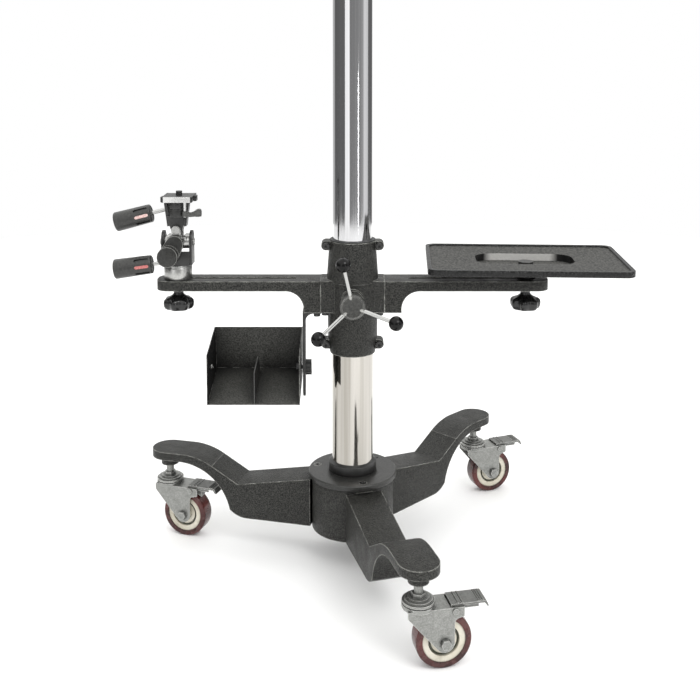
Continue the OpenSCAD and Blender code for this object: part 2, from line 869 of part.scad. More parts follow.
module tyre() {
    r = wheel_d / 2;
    half = tyre_w / 2;
    color([0.45, 0.10, 0.13]) translate([trail, 0, axle_z]) rotate([-90, 0, 0])
        rotate_extrude() {
            translate([rim_r + seat_fit, tyre_round - half])
                square([r - rim_r - seat_fit, tyre_w - 2 * tyre_round]);
            translate([rim_r + seat_fit, -half])
                square([r - rim_r - seat_fit - tyre_round, tyre_w]);
            for (s = [-1, 1]) translate([r - tyre_round, s * (half - tyre_round)])
                circle(r = tyre_round);
        }
}

// Pedal: ribbed toe bent down at its end, two ears on the pin, and the cam that presses on the tyre
module brake_pedal() {
    lip = pedal_l - pedal_lip;
    top = pedal_web + pedal_t;
    tyre_top = axle_z + wheel_d / 2;
    color([0.72, 0.73, 0.70]) difference() {
        union() {
            slab(-pedal_w / 2, pedal_w / 2) {
                translate([pedal_root, pedal_web]) square([lip - pedal_root + join, pedal_t]);
                polygon([[lip, pedal_web], [pedal_l - pedal_t, pedal_web - pedal_lip_drop],
                         [pedal_l, pedal_web - pedal_lip_drop], [lip + pedal_t, top], [lip, top]]);
            }
            for (x = pedal_rib_x) slab(join - pedal_w / 2, pedal_w / 2 - join)
                translate([x, top]) circle(r = pedal_rib_r);
            for (y = [-ear_y, ear_y - ear_t]) slab(y, y + ear_t) {
                translate([pedal_x, pedal_z]) circle(r = ear_r);
                translate([pedal_x - ear_r, pedal_z]) square([2 * ear_r, pedal_web - pedal_z + join]);
                translate([pedal_x, pedal_web - pedal_flange])
                    square([pedal_l - pedal_flange_end - pedal_x, pedal_flange + join]);
            }
            slab(-cam_half, cam_half) polygon([[cam_in, top], [cam_out, top],
                [cam_out - cam_slant, tyre_top - cam_toe_drop],
                [cam_low_in, tyre_top - cam_heel_drop]]);
        }
        translate([pedal_x, 0, pedal_z]) rod_y(pedal_pin_r + run_fit, -far, far);
    }
}

// Outline of the collar's casting, turned about the column
module collar_outline() {
    polygon([
        [bore_r, collar_z], [collar_r - collar_foot, collar_z],
        [collar_r, collar_z + collar_foot_h], [collar_r + collar_bulge, block_z],
        [collar_r, block_z + join], [collar_r, skirt_z - join], [collar_r + skirt_out, skirt_z],
        [collar_r - collar_neck, collar_top - collar_neck_h],
        [collar_r - collar_neck, collar_top], [bore_r, collar_top]]);
}

module collar_casting() {
    difference() {
        union() {
            rotate_extrude() collar_outline();
            translate([-seam_x, -block_w / 2, block_z])
                cube([2 * seam_x, block_w, block_top - block_z]);
            for (s = [-1, 1], z = lug_z) {
                translate([s * lug_x, 0, z]) rod_y(lug_r, -lug_t / 2, lug_t / 2);
                translate([s * (lug_x + bore_r) / 2, 0, z])
                    cube([lug_x - bore_r, lug_t, 2 * lug_r], center = true);
            }
            translate([0, 0, screw_z]) rod_y(screw_boss_r, -screw_boss_y, -bore_r + collar_neck);
        }
        cylinder(r = bore_r, h = stand_h);
        for (s = [-1, 1], z = lug_z)
            translate([s * lug_x, 0, z]) {
                rod_y(lug_bolt_d / 2 + seat_fit, -far, far);
                rod_y(lug_pocket_r, lug_t / 2, far);
                rod_y(lug_pocket_r, -far, -lug_t / 2);
            }
        translate([0, 0, screw_z]) rod_y(spindle_r + run_fit, -far, 0);
        translate([0, 0, screw_z - shoe_h / 2 - shoe_room])
            rotate([0, 0, -90 - shoe_angle / 2 - shoe_room])
                rotate_extrude(angle = shoe_angle + 2 * shoe_room) translate([column_r, 0])
                    square([shoe_out + clamp_travel + slide_gap - column_r, shoe_h + 2 * shoe_room]);
        for (s = [-1, 1], y = [-arm_bolt_y, arm_bolt_y])
            translate([s * seam_x, y, arm_bolt_z])
                rod_x(arm_bolt_d / 2 + seat_fit, -arm_bolt_deep, arm_bolt_deep);
        for (s = [-1, 1]) translate([s * block_bolt_x, block_bolt_y, block_z - cut])
            cylinder(r = lug_bolt_d / 2 + seat_fit, h = block_bolt_h + cut);
    }
}

// Half of the collar: side is -1 for the front half and 1 for the rear half
module collar_half(side) {
    color([0.24, 0.24, 0.23]) intersection() {
        collar_casting();
        translate([-far, side > 0 ? split / 2 : -far, 0]) cube([2 * far, far - split / 2, stand_h]);
    }
}

module guide_liners() {
    color([0.16, 0.16, 0.16]) for (z = liner_z) difference() {
        union() {
            translate([0, 0, z]) cylinder(r = liner_out, h = liner_h);
            if (z > screw_z) translate([0, 0, collar_top]) cylinder(r = seat_ring_r, h = seat_ring_h);
        }
        cylinder(r = liner_in, h = stand_h);
    }
}

// Bolts of the four lugs with their nuts, and two bolts under the side blocks
module collar_bolts() {
    r = lug_bolt_d / 2;
    color([0.30, 0.30, 0.30]) {
        for (s = [-1, 1], z = lug_z) translate([s * lug_x, 0, z]) difference() {
            union() {
                rod_y(r, -lug_t / 2 - join, lug_t / 2 + lug_nut_h + join);
                rod_y(lug_bolt_head, -lug_t / 2 - lug_bolt_head_h, -lug_t / 2);
                translate([0, lug_t / 2, 0]) rotate([-90, 0, 0])
                    cylinder(r = lug_nut_r, h = lug_nut_h, $fn = sides_hex);
            }
            translate([0, -lug_t / 2 - lug_bolt_head_h - cut, 0]) rotate([-90, 0, 0])
                cylinder(r = lug_socket_r, h = lug_socket_h + cut, $fn = sides_hex);
        }
        for (s = [-1, 1]) translate([s * block_bolt_x, block_bolt_y, 0]) {
            translate([0, 0, block_z - join]) cylinder(r = r, h = block_bolt_h);
            translate([0, 0, block_z - block_head_h]) cylinder(r = block_head_r, h = block_head_h);
        }
    }
}

module arm_profile() {
    polygon([[seam_x, block_z], [root_x, block_z], [root_x, arm_z], [arm_reach, arm_z],
             [arm_reach, arm_top], [seam_x, arm_top]]);
    difference() {
        translate([root_x - join, arm_z - gusset_r]) square([gusset_r + join, gusset_r]);
        translate([root_x + gusset_r, arm_z - gusset_r]) circle(r = gusset_r);
    }
}

// Right arm, which is mirrored for the left arm
module arm() {
    difference() {
        intersection() {
            slab(-arm_w / 2, arm_w / 2) arm_profile();
            linear_extrude(stand_h) {
                translate([0, -arm_w / 2]) square([arm_reach - tip_r, arm_w]);
                translate([0, -arm_w / 2 + tip_r]) square([arm_reach, arm_w - 2 * tip_r]);
                for (s = [-1, 1]) translate([arm_reach - tip_r, s * (arm_w / 2 - tip_r)])
                    circle(r = tip_r);
            }
        }
        translate([0, 0, arm_z - cut]) linear_extrude(arm_t + 2 * cut) {
            translate([slot_in + slot_w / 2, -slot_w / 2])
                square([slot_out - slot_in - slot_w, slot_w]);
            for (x = [slot_in + slot_w / 2, slot_out - slot_w / 2]) translate([x, 0])
                circle(r = slot_w / 2);
        }
        for (y = [-arm_bolt_y, arm_bolt_y]) translate([0, y, arm_bolt_z]) {
            rod_x(arm_bolt_d / 2 + seat_fit, 0, far);
            rod_x(arm_pocket_r, root_x - arm_bolt_head, root_x + gusset_r);
        }
    }
}

module left_arm() {
    color([0.26, 0.26, 0.25]) difference() {
        mirror([1, 0, 0]) arm();
        for (y = [-bracket_bolt_y, bracket_bolt_y])
            translate([-bracket_bolt_x, y, block_z - cut])
                cylinder(r = bracket_bolt_d / 2 + seat_fit, h = bracket_bolt_deep + cut);
    }
}

module right_arm() { color([0.26, 0.26, 0.25]) arm(); }

// Bolts of the two arms, and the two bolts of the bin's bracket
module arm_bolts() {
    r = arm_bolt_d / 2;
    color([0.30, 0.30, 0.30]) {
        for (m = [0, 1]) mirror([m, 0, 0]) for (y = [-arm_bolt_y, arm_bolt_y])
            translate([0, y, arm_bolt_z]) difference() {
                union() {
                    rod_x(r, seam_x - arm_bolt_deep + join, root_x - arm_bolt_head + join);
                    rod_x(arm_head_r, root_x - arm_bolt_head, root_x);
                }
                translate([root_x - arm_socket_h, 0, 0]) rotate([0, 90, 0])
                    cylinder(r = arm_socket_r, h = arm_socket_h + cut, $fn = sides_hex);
            }
        for (y = [-bracket_bolt_y, bracket_bolt_y]) translate([-bracket_bolt_x, y, 0]) {
            translate([0, 0, block_z - bracket_t - join])
                cylinder(r = bracket_bolt_d / 2, h = bracket_t + bracket_bolt_deep);
            translate([0, 0, block_z - bracket_t - bracket_head_h])
                cylinder(r = bracket_head_r, h = bracket_head_h);
        }
    }
}

// Bar with a flange bent under the left arm's root and a chamfered tip
module bin_bracket() {
    out = -bracket_x - bracket_t;
    low = bracket_z;
    color([0.08, 0.08, 0.08]) difference() {
        intersection() {
            slab(-bracket_w / 2, bracket_w / 2) difference() {
                union() {
                    translate([out, low]) square([bracket_t, bracket_top - low]);
                    translate([out, bracket_top - bracket_t])
                        square([bracket_t + flange_l, bracket_t]);
                    translate([-bracket_x - join, bracket_top - bracket_t - flange_r])
                        square(flange_r + join);
                }
                translate([-bracket_x + flange_r, bracket_top - bracket_t - flange_r])
                    circle(r = flange_r);
            }
            side_slab(out - cut, out + flange_l + 2 * bracket_t)
                polygon([[-bracket_w / 2, low + bracket_cut], [bracket_cut - bracket_w / 2, low],
                         [bracket_w / 2 - bracket_cut, low], [bracket_w / 2, low + bracket_cut],
                         [bracket_w / 2, bracket_top], [-bracket_w / 2, bracket_top]]);
        }
        translate([0, pivot_y, pivot_z]) rod_x(stud_r + run_fit, -far, 0);
        for (y = [-bracket_bolt_y, bracket_bolt_y])
            translate([-bracket_bolt_x, y, 0])
                cylinder(r = bracket_bolt_d / 2 + seat_fit, h = stand_h);
    }
}

// Clamp screw, and the curved brake shoe that it presses against the column
module clamp_spindle() {
    color([0.60, 0.60, 0.60]) {
        translate([0, 0, screw_z])
            rod_y(spindle_r, -face_y + face_t + spindle_end + cut, -shoe_out - seat_fit);
        translate([0, 0, screw_z - shoe_h / 2]) rotate([0, 0, -90 - shoe_angle / 2])
            rotate_extrude(angle = shoe_angle)
                translate([shoe_in, 0]) square([shoe_out - shoe_in, shoe_h]);
    }
}

// Places its children on the handwheel's rod number i, along +Z
module at_rod(i) {
    slant = atan2(ball_y - rod_y, ball_circle);
    translate([0, -rod_y, screw_z]) rotate([0, 90 - first_rod - i * 360 / rods, 0])
        rotate([slant, 0, 0]) children();
}

module handwheel_hub() {
    color([0.20, 0.20, 0.20]) difference() {
        translate([0, 0, screw_z]) rotate([90, 0, 0]) rotate_extrude() polygon([
            [0, wheel_back], [grip_hub_r, wheel_back],
            [grip_hub_r, face_y - face_t - grip_hub_step],
            [face_d / 2 - face_back_edge, face_y - face_t],
            [face_d / 2, face_y - face_t + face_back_edge],
            [face_d / 2, face_y - face_edge], [face_d / 2 - face_edge, face_y],
            [face_d / 2 - face_rim, face_y], [face_d / 2 - face_rim - face_dish, face_y - face_dish],
            [0, face_y - face_dish]]);
        translate([0, 0, screw_z]) rod_y(spindle_r + run_fit, -face_y + face_t + spindle_end, 0);
        for (i = [0 : rods - 1]) at_rod(i) translate([0, 0, rod_in - seat_fit])
            cylinder(r = rod_d / 2 + seat_fit, h = face_d);
    }
}

module handwheel_rods() {
    color([0.78, 0.78, 0.78]) for (i = [0 : rods - 1]) at_rod(i)
        translate([0, 0, rod_in]) cylinder(r = rod_d / 2, h = rod_len - rod_in);
}

module handwheel_balls() {
    color([0.03, 0.03, 0.03]) for (i = [0 : rods - 1]) at_rod(i) difference() {
        translate([0, 0, rod_len]) sphere(r = ball_r);
        cylinder(r = rod_d / 2 + seat_fit, h = rod_len + seat_fit);
    }
}

// Lobed knob under an arm, about the origin in plan, with its neck up to the arm
module lobed_knob() {
    base = knob_top - neck_h - knob_h;
    translate([0, 0, base]) difference() {
        union() {
            cylinder(r1 = knob_r - knob_foot, r2 = knob_r, h = knob_foot);
            translate([0, 0, knob_foot]) cylinder(r = knob_r, h = knob_h - knob_foot);
            for (i = [0 : lobes - 1]) rotate([0, 0, i * 360 / lobes])
                translate([knob_r - join, 0, knob_foot]) cylinder(r = lobe_r, h = knob_h - knob_foot);
        }
        translate([0, 0, knob_h - knob_dish])
            cylinder(r1 = neck_r, r2 = knob_r - join, h = knob_dish + cut);
    }
    translate([0, 0, base + knob_foot]) cylinder(r = neck_r, h = neck_h + knob_h - knob_foot);
}

// Outline of the bin's side, in Y and Z
module bin_side() { polygon([bin_low, bin_lip, bin_rear, bin_heel]); }

// Extrudes an outline drawn in Y and Z, from x0 to x1
module side_slab(x0, x1) {
    translate([x0, 0, 0]) rotate([90, 0, 90]) linear_extrude(x1 - x0) children();
}

// Strip of sheet between two points of the bin's side, thick towards its inside
module bin_strip(a, b) {
    d = (b - a) / norm(b - a);
    n = [-d[1], d[0]] * sheet;
    polygon([a, b, b + n, a + n]);
}

// Folded shell: end walls, sloping bottom and back
module bin_shell() {
    color([0.07, 0.07, 0.08]) difference() {
        union() {
            side_slab(-bin_out, -bin_out + sheet) bin_side();
            side_slab(-bin_x - sheet, -bin_x) bin_side();
            side_slab(-bin_out, -bin_x) intersection() {
                union() {
                    bin_strip(bin_low, bin_heel);
                    bin_strip(bin_heel, bin_rear);
                }
                bin_side();
            }
        }
        translate([0, pivot_y, pivot_z]) rod_x(stud_r + run_fit, -bin_x - stud_end - sheet, 0);
    }
}

// Upright divider across the sloping bottom
module bin_divider() {
    slope = (bin_heel[1] - bin_low[1]) / (bin_heel[0] - bin_low[0]);
    rise = sheet / cos(atan(slope)) + seat_fit;
    y0 = bin_low[0];
    y1 = bin_heel[0] - divider_end;
    color([0.07, 0.07, 0.08]) side_slab(divider_x - sheet / 2, divider_x + sheet / 2) polygon([
        [y0, bin_low[1] + rise], [y1, bin_low[1] + rise + slope * (y1 - y0)],
        [y1 - divider_slant, bin_low[1] + divider_h + divider_step],
        [y0, bin_low[1] + divider_h]]);
}

// Wing knob whose stud passes through the bracket and the bin's end wall
module bin_knob() {
    color([0.05, 0.05, 0.05]) translate([0, pivot_y, pivot_z]) {
        rod_x(stud_r, -bin_x - sheet - stud_end, -bracket_x + stud_grip);
        rod_x(wing_r, -bracket_x + slide_gap, -bracket_x + wing_hub_h);
        for (a = [wing_turn, wing_turn + 180]) rotate([a, 0, 0])
            translate([-bracket_x + slide_gap, -wing_t / 2, 0]) cube([wing_h, wing_t, wing_out]);
        rod_x(stud_cap_r, -bin_x - sheet - stud_end, -bin_x - sheet - slide_gap);
    }
}

module tray_plate() {
    color([0.17, 0.17, 0.17]) difference() {
        translate([tray_cx, tray_cy, 0]) rotate([0, 0, tray_turn]) difference() {
            union() {
                translate([0, 0, tray_z]) linear_extrude(tray_h)
                    round_rect(tray_l, tray_w, tray_r);
                translate([0, 0, recess_drop]) linear_extrude(tray_z - recess_drop + join)
                    round_rect(recess_l + 2 * recess_wall, recess_w + 2 * recess_wall,
                               recess_r + recess_wall);
            }
            translate([0, 0, tray_top - mat_drop]) linear_extrude(mat_drop + cut)
                round_rect(tray_l - 2 * rim_t, tray_w - 2 * rim_t, tray_r - rim_t / 2);
            translate([0, 0, recess_z]) linear_extrude(recess_deep + cut)
                round_rect(recess_l, recess_w, recess_r);
        }
        translate([tray_bolt_x, 0, 0]) cylinder(r = clamp_r + run_fit, h = stand_h);
    }
}

// Bolt down through the tray and the arm's slot, and the spacer between tray and arm
module tray_bolt() {
    color([0.60, 0.60, 0.58]) translate([tray_bolt_x, 0, 0]) {
        translate([0, 0, knob_top - neck_h - clamp_foot])
            cylinder(r = clamp_r, h = recess_z + slide_gap + join - knob_top + neck_h + clamp_foot);
        translate([0, 0, recess_z + slide_gap]) cylinder(r = tray_head_d / 2, h = tray_head_h);
        difference() {
            translate([0, 0, arm_top + slide_gap])
                cylinder(r = spacer_r, h = recess_drop - arm_top - 2 * slide_gap);
            cylinder(r = clamp_r + seat_fit, h = stand_h);
        }
    }
}

module tray_knob() {
    color([0.08, 0.08, 0.08]) translate([tray_bolt_x, 0, 0]) difference() {
        lobed_knob();
        translate([0, 0, knob_top - neck_h - clamp_foot - slide_gap])
            cylinder(r = clamp_r + run_fit, h = stand_h);
    }
}

module head_base() {
    color([0.78, 0.78, 0.77]) translate([-head_x, 0, arm_top + slide_gap]) difference() {
        union() {
            cylinder(r = head_d / 2, h = head_h - head_step_h);
            cylinder(r = head_d / 2 - head_step, h = head_h);
        }
        translate([0, 0, -cut]) cylinder(r = clamp_r + run_fit, h = head_h - clamp_deep + cut);
    }
}

// Knob under the left arm, with the stud that passes through the slot into the head base
module head_knob() {
    color([0.08, 0.08, 0.08]) translate([-head_x, 0, 0]) {
        lobed_knob();
        translate([0, 0, knob_top - join])
            cylinder(r = clamp_r, h = arm_t + head_h - clamp_deep);
    }
}

// Turning frame: round floor, front wall and two cheeks that carry the tilt axis
module pan_frame() {
    color([0.12, 0.12, 0.12]) translate([-head_x, 0, 0]) difference() {
        union() {
            translate([0, 0, frame_z]) cylinder(r = frame_w / 2, h = frame_floor);
            for (x = [-frame_w / 2, cheek_in]) side_slab(x, x + cheek_t) {
                translate([0, tilt_z + cheek_up]) circle(r = cheek_r);
                translate([-cheek_r, frame_z]) square([2 * cheek_r, tilt_z + cheek_up - frame_z]);
            }
            translate([-cheek_in, -housing_back, frame_z])
                cube([2 * cheek_in, housing_back - cheek_r + join, tilt_z - front_wall - frame_z]);
        }
        translate([0, 0, tilt_z]) rod_x(yoke_pin_r + run_fit, -far, far);
        translate([-far, -housing_back - far, 0]) cube([2 * far, far, stand_h]);
    }
}

// Rounded housing in front of the frame, whose lower boss takes the lower handle
module clamp_housing() {
    color([0.20, 0.20, 0.20]) translate([-head_x, 0, 0]) difference() {
        union() {
            slab(-housing_face, -housing_back)
                tapered_oval(housing_low, housing_low_r, housing_up, housing_up_r);
            translate([housing_low[0], 0, housing_low[1]])
                rod_y(housing_low_r, -housing_front, -housing_back);
        }
        translate([head_x, lower_y, 0]) handle_bore(lower_in, lower_tip);
    }
}

// Silver block that tilts between the cheeks, with two tabs that hold the yoke's pivot
module tilt_block() {
    color([0.74, 0.74, 0.72]) translate([-head_x, 0, 0]) difference() {
        union() {
            translate([0, 0, tilt_z]) rod_x(tilt_r, -tilt_half, tilt_half);
            for (y = [-tab_y - tab_t, tab_y]) slab(y, y + tab_t) {
                translate([0, yoke_z]) circle(r = tab_r);
                translate([-tab_r, tilt_z + tab_foot]) square([2 * tab_r, yoke_up - tab_foot]);
            }
            for (s = [-1, 1])
                translate([s * web_x - web_w / 2, -tab_y - tab_t, tilt_z + tab_foot])
                    cube([web_w, 2 * (tab_y + tab_t), tab_foot]);
            slab(-tab_y - tab_t, tab_y + tab_t) translate([-tab_r, tilt_z + tab_foot])
                square([2 * tab_r, tilt_r - tab_foot]);
        }
        translate([0, 0, tilt_z]) rod_x(yoke_pin_r + seat_fit, -far, far);
        translate([0, 0, yoke_z]) rod_y(yoke_pin_r + seat_fit, -far, far);
    }
}

// Slotted screw of the side tilt, and the pin of the tilt axis with its two heads
module pivot_screws() {
    color([0.82, 0.82, 0.80]) translate([-head_x, 0, 0]) {
        translate([0, 0, yoke_z]) difference() {
            union() {
                rod_y(yoke_pin_r, -tab_y - tab_t - pin_end, tab_y + tab_t + pin_head_h);
                rod_y(pivot_head_r, -tab_y - tab_t - pin_head_h, -tab_y - tab_t);
                rod_y(pivot_nut_r, tab_y + tab_t, tab_y + tab_t + pin_head_h);
            }
            translate([0, -tab_y - tab_t - pin_head_h, 0]) rotate([0, pivot_slot_turn, 0])
                cube(pivot_slot, center = true);
        }
        translate([0, 0, tilt_z]) {
            rod_x(yoke_pin_r, -frame_w / 2 - pin_end, frame_w / 2 + pin_end);
            rod_x(pin_head_r, -frame_w / 2 - pin_head_h, -frame_w / 2 - slide_gap);
            rod_x(pin_head_r, frame_w / 2 + slide_gap, frame_w / 2 + pin_head_h);
        }
    }
}

// Black yoke: a tongue between the tabs that widens into a round body between two straps
module tilt_yoke() {
    color([0.13, 0.13, 0.13]) translate([-head_x, 0, 0]) difference() {
        union() {
            slab(-tongue_t / 2, tongue_t / 2) {
                translate([0, yoke_z]) circle(r = yoke_r);
                polygon([[-yoke_r, yoke_z], [-body_r, body_z + join], [body_r, body_z + join],
                         [yoke_r, yoke_z]]);
            }
            slab(-strap_w / 2, strap_w / 2) {
                translate([-strap_out, body_top - strap_t]) square([2 * strap_out, strap_t]);
                for (s = [-1, 1]) polygon([
                    [s * strap_out, body_top - strap_t], [s * (strap_out - strap_t), body_top - strap_t],
                    [s * strap_heel[0], yoke_z + strap_heel[1]],
                    [s * strap_foot[0], yoke_z + strap_foot[1]]]);
            }
            translate([0, 0, body_z])
                cylinder(r = body_r, h = body_h - body_band - body_groove_h);
            translate([0, 0, body_z]) cylinder(r = body_r - body_groove, h = body_h);
            translate([0, 0, body_top - body_band]) cylinder(r = body_r, h = body_band);
        }
        translate([0, 0, yoke_z]) rod_y(yoke_pin_r + run_fit, -far, far);
        translate([head_x, 0, 0]) handle_bore(upper_in, upper_tip);
    }
}

// Silver platform with a pocket for the camera plate, two side lugs and the lever's pin
module platform() {
    color([0.80, 0.80, 0.79]) translate([platform_x, 0, 0]) {
        difference() {
            translate([0, 0, body_top + platform_t / 2])
                cube([plate_l + 2 * platform_edge, plate_w + 2 * platform_edge, platform_t],
                     center = true);
            translate([0, 0, plate_z + plate_t])
                cube([plate_l + 2 * seat_fit, plate_w + 2 * seat_fit, 2 * plate_t], center = true);
            cylinder(r = camera_head_r + cut, h = stand_h);
        }
        for (s = [-1, 1]) translate([s * (plate_l / 2 + platform_edge + side_lug[0] / 2 - spot),
                                     s * side_lug_y, body_top + side_lug_up])
            cube(side_lug, center = true);
    }
    color([0.80, 0.80, 0.79]) translate([-head_x + lever_x, lever_y, lever_z - join])
        cylinder(r = lever_pin_r, h = body_top - lever_z + 2 * join);
}

module camera_plate() {
    color([0.09, 0.09, 0.09]) translate([platform_x, 0, 0]) difference() {
        translate([0, 0, plate_z + plate_t / 2]) cube([plate_l, plate_w, plate_t], center = true);
        cylinder(r = camera_r + run_fit, h = stand_h);
        translate([0, 0, plate_z - cut])
            cylinder(r = camera_head_r + slide_gap, h = screw_head_h + 2 * slide_gap + cut);
    }
}

module camera_screw() {
    color([0.12, 0.12, 0.12]) translate([platform_x, 0, plate_z]) difference() {
        union() {
            translate([0, 0, slide_gap]) cylinder(r = camera_head_r, h = screw_head_h);
            translate([0, 0, slide_gap]) cylinder(r = camera_neck_r, h = plate_t);
            translate([0, 0, plate_t + slide_gap])
                cylinder(r = camera_r, h = camera_up - slide_gap);
        }
        translate([-camera_head_r, -screw_slot / 2, -cut])
            cube([2 * camera_head_r, screw_slot, screw_slot_h + cut]);
    }
}

module release_lever() {
    color([0.45, 0.45, 0.44]) translate([-head_x + lever_x, lever_y, lever_z]) difference() {
        union() {
            cylinder(r = lever_hub_r, h = lever_h);
            rotate([0, 0, lever_turn]) {
                translate([0, -lever_hub_r, 0]) cube([lever_l, lever_w, lever_h]);
                translate([lever_l, lever_end_y, 0])
                    cylinder(r = lever_end_r, h = lever_h + lever_end_h);
            }
        }
        translate([0, 0, -cut]) cylinder(r = lever_pin_r + run_fit, h = far);
    }
}

// Places its children on a handle's axis, from its inner end a along +Z towards its tip b
module on_handle(a, b) {
    translate([a[0], 0, a[1]]) rotate([0, atan2(b[0] - a[0], b[1] - a[1]), 0]) children();
}

// Bore in which a handle's inner end turns
module handle_bore(a, b) {
    on_handle(a, b) translate([0, 0, -slide_gap]) cylinder(r = handle_d / 2 + run_fit, h = far);
}

module handle_rod(a, b) {
    color([0.80, 0.80, 0.80]) on_handle(a, b)
        cylinder(r = handle_d / 2, h = norm(b - a) - rod_short);
}

// Turned grip with rounded ends, a little narrower towards the rod, with the rod's bore
module handle_grip(a, b) {
    r = grip_d / 2;
    bore = handle_d / 2 + seat_fit;
    color([0.06, 0.06, 0.06]) on_handle(a, b) translate([0, 0, norm(b - a) - grip_l])
        rotate_extrude() polygon([
            [bore, 0], [grip_near_r - grip_edge, 0], [grip_near_r, grip_edge],
            [r, grip_l - grip_edge], [r - grip_edge, grip_l], [0, grip_l],
            [0, grip_l - rod_short + seat_fit], [bore, grip_l - rod_short + seat_fit]]);
}

base_hub();
leg(left_leg_az);  // left_leg
leg(right_leg_az);  // right_leg
leg(front_leg_az);  // front_leg
hub_cover();
base_screws();
foot_ring();
column_tube();
stop_sleeve();
column_cap();
column_anchor();
caster_stems();
at_caster(left_leg_az, left_tail_az) fork();  // left_fork
at_caster(left_leg_az, left_tail_az) caster_pins();  // left_caster_pins
at_caster(left_leg_az, left_tail_az) rim();  // left_rim
at_caster(left_leg_az, left_tail_az) tyre();  // left_tyre
at_caster(left_leg_az, left_tail_az) brake_pedal();  // left_brake_pedal
at_caster(right_leg_az, right_tail_az) fork();  // right_fork
at_caster(right_leg_az, right_tail_az) caster_pins();  // right_caster_pins
at_caster(right_leg_az, right_tail_az) rim();  // right_rim
at_caster(right_leg_az, right_tail_az) tyre();  // right_tyre
at_caster(right_leg_az, right_tail_az) brake_pedal();  // right_brake_pedal
at_caster(front_leg_az, front_tail_az) fork();  // front_fork
at_caster(front_leg_az, front_tail_az) caster_pins();  // front_caster_pins
at_caster(front_leg_az, front_tail_az) rim();  // front_rim
at_caster(front_leg_az, front_tail_az) tyre();  // front_tyre
at_caster(front_leg_az, front_tail_az) brake_pedal();  // front_brake_pedal
collar_half(-1);  // collar_front
collar_half(1);  // collar_rear
guide_liners();
collar_bolts();
left_arm();
right_arm();
arm_bolts();
bin_bracket();
clamp_spindle();
handwheel_hub();
handwheel_rods();
handwheel_balls();
bin_shell();
bin_divider();
bin_knob();
tray_plate();
tray_bolt();
tray_knob();
head_base();
head_knob();
pan_frame();
clamp_housing();
tilt_block();
pivot_screws();
tilt_yoke();
platform();
camera_plate();
camera_screw();
release_lever();
translate([0, lower_y, 0]) handle_rod(lower_in, lower_tip);  // lower_rod
translate([0, lower_y, 0]) handle_grip(lower_in, lower_tip);  // lower_grip
handle_rod(upper_in, upper_tip);  // upper_rod
handle_grip(upper_in, upper_tip);  // upper_grip
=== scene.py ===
"""Looks of a wheeled studio camera column stand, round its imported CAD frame.

Lengths are in metres. Those of the rounded edges and of the built pieces are in millimetres.
"""
import json
import math

import bmesh
import bpy
from mathutils import Matrix, Vector


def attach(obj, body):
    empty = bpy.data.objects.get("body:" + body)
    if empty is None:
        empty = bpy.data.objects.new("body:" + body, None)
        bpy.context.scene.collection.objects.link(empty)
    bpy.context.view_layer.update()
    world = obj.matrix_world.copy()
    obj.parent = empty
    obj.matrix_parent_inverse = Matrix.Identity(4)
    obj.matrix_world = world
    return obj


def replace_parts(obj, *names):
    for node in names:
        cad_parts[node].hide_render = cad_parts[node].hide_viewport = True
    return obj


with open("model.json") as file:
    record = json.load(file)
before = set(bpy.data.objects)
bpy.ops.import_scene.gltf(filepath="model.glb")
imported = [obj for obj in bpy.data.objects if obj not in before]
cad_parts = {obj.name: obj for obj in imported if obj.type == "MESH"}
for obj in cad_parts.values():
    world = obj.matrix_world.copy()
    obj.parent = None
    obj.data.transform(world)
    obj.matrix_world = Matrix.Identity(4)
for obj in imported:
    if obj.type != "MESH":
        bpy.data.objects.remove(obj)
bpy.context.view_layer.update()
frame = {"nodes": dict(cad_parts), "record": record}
scene = bpy.context.scene
scene.view_settings.view_transform = "Standard"
MM = 0.001  # metres in a millimetre


# Materials

# Sockets of the Mix node, by place, when it mixes colours
MIX_SHARE, MIX_FIRST, MIX_SECOND, MIX_RESULT = 0, 6, 7, 2


def add_node(tree, kind, inputs=None, **settings):
    """Adds a node with its settings, and links or sets its inputs."""
    node = tree.nodes.new(kind)
    for name, value in settings.items():
        setattr(node, name, value)
    for name, value in (inputs or {}).items():
        if isinstance(value, bpy.types.NodeSocket):
            tree.links.new(value, node.inputs[name])
        else:
            node.inputs[name].default_value = value
    return node


